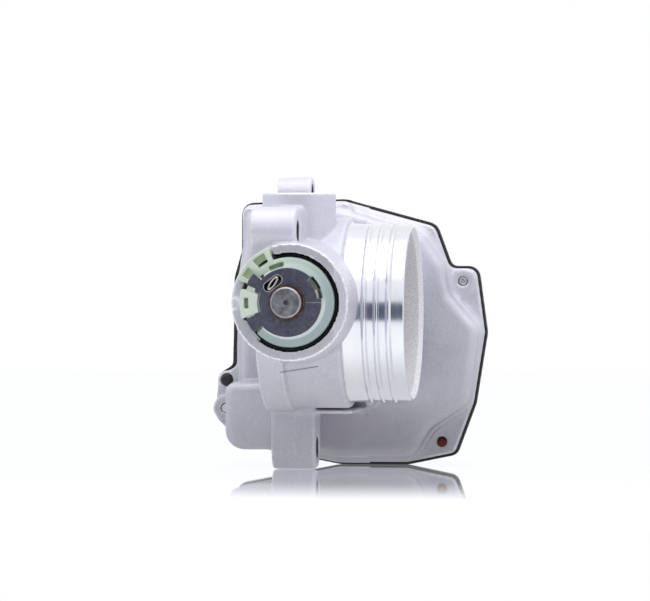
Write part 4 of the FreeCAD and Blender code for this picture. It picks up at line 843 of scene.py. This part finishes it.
def blued_sheet():
    finish = Finish("blued_sheet", (0.14, 0.15, 0.19), 0.6, 0.42)
    mottle = finish.noise(1.0, 4, rough=0.65)
    broad = finish.noise(7, 3)
    blued = finish.tint(finish.span(mottle, 0.3, 0.72), (0.086, 0.092, 0.122), (0.145, 0.153, 0.195))
    blued = finish.tint(finish.times(finish.span(broad, 0.4, 0.7), 0.35), blued, (0.14, 0.147, 0.185))
    line = finish.span(finish.sums("ABSOLUTE", finish.axis("Z")), 0.16, 0.06)
    line = finish.times(line, finish.span(finish.axis("X"), 18.6, 18.9))
    specks = finish.span(finish.cells(1.9), 0.10, 0.05)
    marks = finish.sums("MAXIMUM", finish.times(line, 0.55), finish.times(specks, 0.45))
    # the punched slot of the hook has a bright burr; its long axis rises to the right
    turned = finish.add(
        "ShaderNodeVectorRotate", Vector=finish.mapped(slot_middle, (1000, 1000, 1000)), Angle=slot_turn,
        rotation_type="Y_AXIS",
    )
    split = finish.add("ShaderNodeSeparateXYZ", turned.outputs[0])
    along, across = split.outputs["X"], split.outputs["Z"]
    beyond = finish.sums("SUBTRACT", finish.sums("ABSOLUTE", along), slot_half)
    beyond = finish.sums("MAXIMUM", beyond, 0.0)
    squares = finish.sums("ADD", finish.times(beyond, beyond), finish.times(across, across))
    off_slot = finish.sums("SQRT", squares)
    burr = finish.span(off_slot, slot_r + 0.72, slot_r + 0.62)
    marks = finish.sums("MAXIMUM", marks, finish.times(burr, 0.9))
    # painted shade: the inside of the slot and a narrow band round it are painted near-black
    sunk = finish.span(off_slot, slot_r + 0.45, slot_r + 0.38)
    finish.colour(finish.tint(sunk, finish.tint(marks, blued, (0.62, 0.60, 0.58)), (0.008, 0.008, 0.009)))
    finish.roughness(mottle, 0.30, 0.48)
    finish.bump(mottle, 0.02, 0.4)
    return finish.material


crisp("retaining_plate_stamping", "retaining_plate", 0.16, blued_sheet(), "root")


def drawn_metal(name, colour, smooth, grain, dark, light, relief, strength=0.4):
    """Wire, bar or plating: fine marks, with the shader's own colour and its lowest and highest roughness."""
    finish = Finish(name, colour, 1.0, smooth[0])
    marks = finish.noise(*grain)
    finish.colour(finish.tint(marks, dark, light))
    finish.roughness(marks, *smooth[1:])
    finish.bump(marks, relief, strength)
    return finish.material


bright_wire = drawn_metal(
    "bright_drawn_wire", (0.80, 0.77, 0.72), (0.16, 0.12, 0.24), (0.3, 2, (1, 0.1, 1)),
    (0.66, 0.62, 0.57), (0.92, 0.89, 0.84), 0.006,
)
loop_tree = Tree("wire_loop", [
    ("Half length", "NodeSocketFloat", 2.35 * mm), ("Half width", "NodeSocketFloat", 0.72 * mm),
    ("Wire radius", "NodeSocketFloat", 0.34 * mm), ("Turn", "NodeSocketFloat", -math.radians(55)),
])
loop_size = loop_tree.add(
    "ShaderNodeCombineXYZ", X=loop_tree.given("Half length"), Y=loop_tree.given("Half width"), Z=1.0
)
loop_round = loop_tree.add("GeometryNodeCurvePrimitiveCircle", Resolution=72, Radius=1.0)
loop_oval = loop_tree.add("GeometryNodeTransform", Geometry=loop_round.outputs[0], Scale=loop_size.outputs[0])
loop_stood = loop_tree.add(
    "GeometryNodeTransform", Geometry=loop_oval.outputs[0], Rotation=(math.pi / 2, 0, 0)
)
loop_turn = loop_tree.add("ShaderNodeCombineXYZ", Y=loop_tree.given("Turn"))
loop_laid = loop_tree.add(
    "GeometryNodeTransform", Geometry=loop_stood.outputs[0], Rotation=loop_turn.outputs[0],
    Translation=[c * mm for c in (slot_middle[0], loop_y, slot_middle[2])],
)
loop_wire = loop_tree.add(
    "GeometryNodeCurvePrimitiveCircle", Resolution=16, Radius=loop_tree.given("Wire radius")
)
loop_skin = loop_tree.add(
    "GeometryNodeCurveToMesh", Curve=loop_laid.outputs[0], Profile_Curve=loop_wire.outputs[0]
)
loop_tree.ends_in(loop_skin.outputs[0], bright_wire)
hook = loop_tree.build("hook_loop", [(0, 0, 0)])
shade(hook, weighted=False)
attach(hook, "root")
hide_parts("spring_hook")

# ---------------------------------------------------------------- bearings and spring lever
# A drawn-cup needle bearing and a ball bearing with a brown polyamide cage carry the shaft in the casting.
# The stamped lever on the shaft winds the spring.


bearing_steel = drawn_metal(
    "bearing_steel", (0.72, 0.72, 0.75), (0.12, 0.08, 0.2), (0.9, 3, (1, 0.2, 1)),
    (0.62, 0.62, 0.66), (0.80, 0.80, 0.83), 0.003,
)
dress(
    bearing_steel, "needle_cup", "needle_rollers", "ball_bearing_outer_ring", "ball_bearing_inner_ring",
    "ball_bearing_balls",
)


def moulded(name, dark, light, roughness):
    """A plain injection moulding: faint flow marks and a fine grain."""
    finish = Finish(name, light, 0.0, roughness)
    flow = finish.noise(5, 3, stretch=(1, 0.5, 1))
    finish.colour(finish.clouds(flow, dark, light))
    finish.roughness(flow, roughness - 0.08, roughness + 0.1)
    finish.bump(finish.noise(0.3, 2), 0.012, 0.5)
    return finish.material


dress(moulded("cage_polyamide", (0.40, 0.31, 0.19), (0.56, 0.46, 0.31), 0.5), "ball_bearing_cage")


def stamped_steel(name, dark, light, roughness):
    """Rolled or stamped sheet steel: rolling lines one way and a little oxide."""
    finish = Finish(name, light, 1.0, roughness)
    rolled = finish.noise(0.25, 2, stretch=(0.05, 1, 1))
    oxide = finish.noise(3.5, 4)
    finish.colour(finish.clouds(oxide, dark, light))
    finish.roughness(oxide, roughness - 0.08, roughness + 0.12)
    finish.bump(rolled, 0.008, 0.5)
    return finish.material


dress(stamped_steel("lever_sheet", (0.36, 0.36, 0.38), (0.56, 0.56, 0.58), 0.36), "spring_lever")

# ---------------------------------------------------------------- gear train
# The motor's brass pinion drives the wheel of a natural acetal double gear on a steel axle, whose small gear
# turns the toothed sector on the shaft.
natural_acetal = moulded("natural_acetal", (0.72, 0.70, 0.62), (0.84, 0.82, 0.75), 0.38)
dress(natural_acetal, "sector_gear", "intermediate_gear")
axle_steel = ground_steel("ground_axle_steel", (0.56, 0.56, 0.58), (8.95, 0, -26.69))
dress(axle_steel, "intermediate_axle", "motor_shaft")
dress(brass, "motor_pinion")

# ---------------------------------------------------------------- motor
# A small brushed motor fills the bulge: a drawn steel can, two ferrite magnets, a stacked armature with a
# copper commutator, carbon brushes in a black end cap, and tinned terminals.
dress(stamped_steel("drawn_can", (0.50, 0.50, 0.51), (0.66, 0.66, 0.67), 0.3), "motor_can")


def pressed_powder(name, dark, light, metallic, size):
    """Ferrite or carbon: a dense dark grain."""
    finish = Finish(name, light, metallic, 0.55)
    grain = finish.noise(size, 4, rough=0.7)
    finish.colour(finish.tint(grain, dark, light))
    finish.roughness(grain, 0.45, 0.7)
    finish.bump(grain, 0.03, 0.5)
    return finish.material


ferrite = pressed_powder("ferrite", (0.06, 0.06, 0.065), (0.14, 0.14, 0.15), 0.3, 0.5)
dress(ferrite, "motor_magnets", "sensor_magnet")
dress(pressed_powder("carbon", (0.03, 0.03, 0.03), (0.09, 0.09, 0.09), 0.1, 0.3), "motor_brushes")


def laminations():
    """Steel sheets stacked along the axis, seen as fine rings."""
    finish = Finish("laminations", (0.30, 0.30, 0.32), 0.9, 0.42)
    sheets = finish.sums("SINE", finish.times(finish.axis("Y"), 2 * math.pi / 0.5))
    edge_of_sheet = finish.span(sheets, -0.9, -0.4)
    finish.colour(finish.tint(edge_of_sheet, (0.10, 0.09, 0.09), (0.36, 0.36, 0.38)))
    finish.roughness(finish.noise(2, 3), 0.34, 0.52)
    finish.bump(edge_of_sheet, 0.05, 0.6)
    return finish.material


dress(laminations(), "motor_armature")


copper_bars = drawn_metal(
    "copper_bars", (0.72, 0.40, 0.24), (0.3, 0.22, 0.42), (0.4, 3, (1, 3, 1)),
    (0.46, 0.22, 0.12), (0.82, 0.50, 0.32), 0.01, 0.5,
)
dress(copper_bars, "motor_commutator")
black_moulding = moulded("black_moulding", (0.020, 0.020, 0.021), (0.045, 0.045, 0.048), 0.5)
dress(black_moulding, "motor_end_cap", "magnet_carrier")


tin = drawn_metal(
    "tinned_copper", (0.76, 0.75, 0.70), (0.24, 0.18, 0.36), (0.7, 3),
    (0.62, 0.60, 0.55), (0.86, 0.85, 0.80), 0.006,
)
dress(tin, "motor_terminals")

# ---------------------------------------------------------------- position sensor and connector pins
# A magnet on the shaft's end faces a sensor chip on a green glass-epoxy board under the cover. Six square
# tinned pins with tapered tips stand in the socket.


def glass_epoxy():
    finish = Finish("glass_epoxy", (0.03, 0.22, 0.11), 0.0, 0.35)
    weave = finish.sums(
        "MULTIPLY", finish.sums("SINE", finish.times(finish.axis("X"), 9.0)),
        finish.sums("SINE", finish.times(finish.axis("Z"), 9.0)),
    )
    finish.colour(finish.tint(finish.span(weave, -1, 1), (0.018, 0.16, 0.08), (0.04, 0.27, 0.14)))
    finish.roughness(finish.noise(2, 3), 0.25, 0.42)
    finish.bump(weave, 0.01, 0.4)
    return finish.material


dress(glass_epoxy(), "sensor_board")
dress(moulded("chip_epoxy", (0.015, 0.015, 0.015), (0.035, 0.035, 0.036), 0.42), "sensor_chip")

pin_low, pin_high = (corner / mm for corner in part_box("connector_pins"))
pin_side = pin_high[2] - pin_low[2]
pin_long = pin_high[1] - pin_low[1]
pin_count = len(solids_of("connector_pins"))


def square(side):
    """Radius of a square with slightly rounded corners, by the angle."""
    def radius(angle):
        off = (angle + math.pi / 4) % (math.pi / 2) - math.pi / 4
        return min(side / 2 / math.cos(off), side * 0.66)
    return radius


pin_rings = [
    (square(pin_side * 0.9), 0), (square(pin_side), 0.1), (square(pin_side), pin_long - 1.1),
    (square(pin_side * 0.5), pin_long - 0.15), (square(pin_side * 0.3), pin_long),
]
one_pin = revolved("one_pin", pin_rings, 24, axis="y", closed=False)
pin_tree = Tree("pins_in_a_row", [
    ("Pin", "NodeSocketObject", one_pin), ("Count", "NodeSocketInt", pin_count),
    ("Pitch", "NodeSocketFloat", (pin_high[0] - pin_low[0] - pin_side) / (pin_count - 1) * mm),
])
pitch_vector = pin_tree.add("ShaderNodeCombineXYZ", X=pin_tree.given("Pitch"))
pin_line = pin_tree.add(
    "GeometryNodeMeshLine", Count=pin_tree.given("Count"), Offset=pitch_vector.outputs[0],
    Start_Location=((pin_low[0] + pin_side / 2) * mm, pin_low[1] * mm, (pin_low[2] + pin_side / 2) * mm),
)
pin_source = pin_tree.add("GeometryNodeObjectInfo", Object=pin_tree.given("Pin"))
pin_copies = pin_tree.add(
    "GeometryNodeInstanceOnPoints", Points=pin_line.outputs[0], Instance=pin_source.outputs["Geometry"]
)
pin_tree.ends_in(pin_copies.outputs[0], tin)
pins = pin_tree.build("socket_pins", [(0, 0, 0)])
bpy.data.objects.remove(one_pin)
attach(pins, "root")
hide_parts("connector_pins")

# ---------------------------------------------------------------- table, light and surroundings
# The object stands on a white glossy table that mirrors its foot and fades forwards. The light is a white
# room with a large soft lamp overhead and a dark gap at eye level in front, which the turned spigot mirrors.
floor_z = CAD_BOX[0].z
table_side, table_front = 1.2, -0.33
front_corners = [(-table_side, table_front), (table_side, table_front)]
corners = [*front_corners, (table_side, table_side), (-table_side, table_side)]
floor_mesh = bpy.data.meshes.new("table_top")
floor_mesh.from_pydata([(*corner, floor_z) for corner in corners], [], [(0, 1, 2, 3)])
table_top = bpy.data.objects.new("table_top", floor_mesh)
scene.collection.objects.link(table_top)


def white_table():
    """White to the eye with a fading mirror; its glow lights the object from below, less right under it."""
    material = bpy.data.materials.new("white_table")
    material.use_nodes = True
    material.node_tree.nodes.remove(material.node_tree.nodes["Principled BSDF"])
    table = Nodes(material.node_tree)
    split = table.add("ShaderNodeSeparateXYZ", table.add("ShaderNodeTexCoord").outputs["Object"])
    front = table.edge(split.outputs["Y"], -0.01, -0.07, 0.72, 1.06)
    uplight = table.add("ShaderNodeEmission", Color=(0.96, 0.97, 1.0, 1), Strength=front)
    matt = table.add("ShaderNodeBsdfDiffuse", Color=(0.5, 0.5, 0.5, 1))
    glow = table.add("ShaderNodeEmission", Color=(1, 1, 1, 1), Strength=0.62)
    white = table.add("ShaderNodeAddShader", matt.outputs[0], glow.outputs[0])
    mirror = table.add("ShaderNodeBsdfGlossy", Color=(0.96, 0.98, 1.03, 1), Roughness=0.03)
    fade = table.edge(split.outputs["Y"], -0.235, -0.06, 0.0, 0.88)
    seen = table.add("ShaderNodeMixShader", fade, white.outputs[0], mirror.outputs[0])
    to_camera = table.add("ShaderNodeLightPath").outputs["Is Camera Ray"]
    either = table.add("ShaderNodeMixShader", to_camera, uplight.outputs[0], seen.outputs[0])
    table.feed(table.tree.nodes["Material Output"].inputs["Surface"], either.outputs[0])
    return material


floor_mesh.materials.append(white_table())

lamp_data = bpy.data.lights.new("overhead_lamp", "AREA")
lamp_data.shape = "RECTANGLE"
lamp_data.size, lamp_data.size_y = 0.8, 0.6
lamp_data.energy = 1.5
lamp_data.color = (0.97, 0.98, 1.0)
lamp = bpy.data.objects.new("overhead_lamp", lamp_data)
lamp.location = (0.05, -0.12, 0.55)
lamp.rotation_mode = "QUATERNION"
lamp.rotation_quaternion = (aim - lamp.location).to_track_quat("-Z", "Y")
lamp.visible_camera = False
scene.collection.objects.link(lamp)

# the room: white all round and brighter overhead, with the dark gap between the table's edge and the lamp
world = bpy.data.worlds.new("white_room")
scene.world = world
world.use_nodes = True
room = Nodes(world.node_tree)
split = room.add("ShaderNodeSeparateXYZ", room.add("ShaderNodeTexCoord").outputs["Generated"])
height, depth = split.outputs["Z"], split.outputs["Y"]
walls = room.tint(room.edge(height, 0.3, 0.9), (0.88, 0.89, 0.93), (0.99, 0.995, 1.02))
gap = room.times(room.edge(height, -0.26, -0.2), room.edge(height, 0.26, 0.23))
gap = room.times(gap, room.edge(depth, -0.55, -0.75))
walls = room.tint(gap, walls, (0.085, 0.10, 0.145))
walls = room.tint(room.edge(depth, 0.8, 0.95), walls, (1, 1, 1))
to_camera = room.add("ShaderNodeLightPath").outputs["Is Camera Ray"]
room.feed(world.node_tree.nodes["Background"].inputs["Color"], room.tint(to_camera, walls, (1, 1, 1)))
scene.view_settings.view_transform = "Standard"
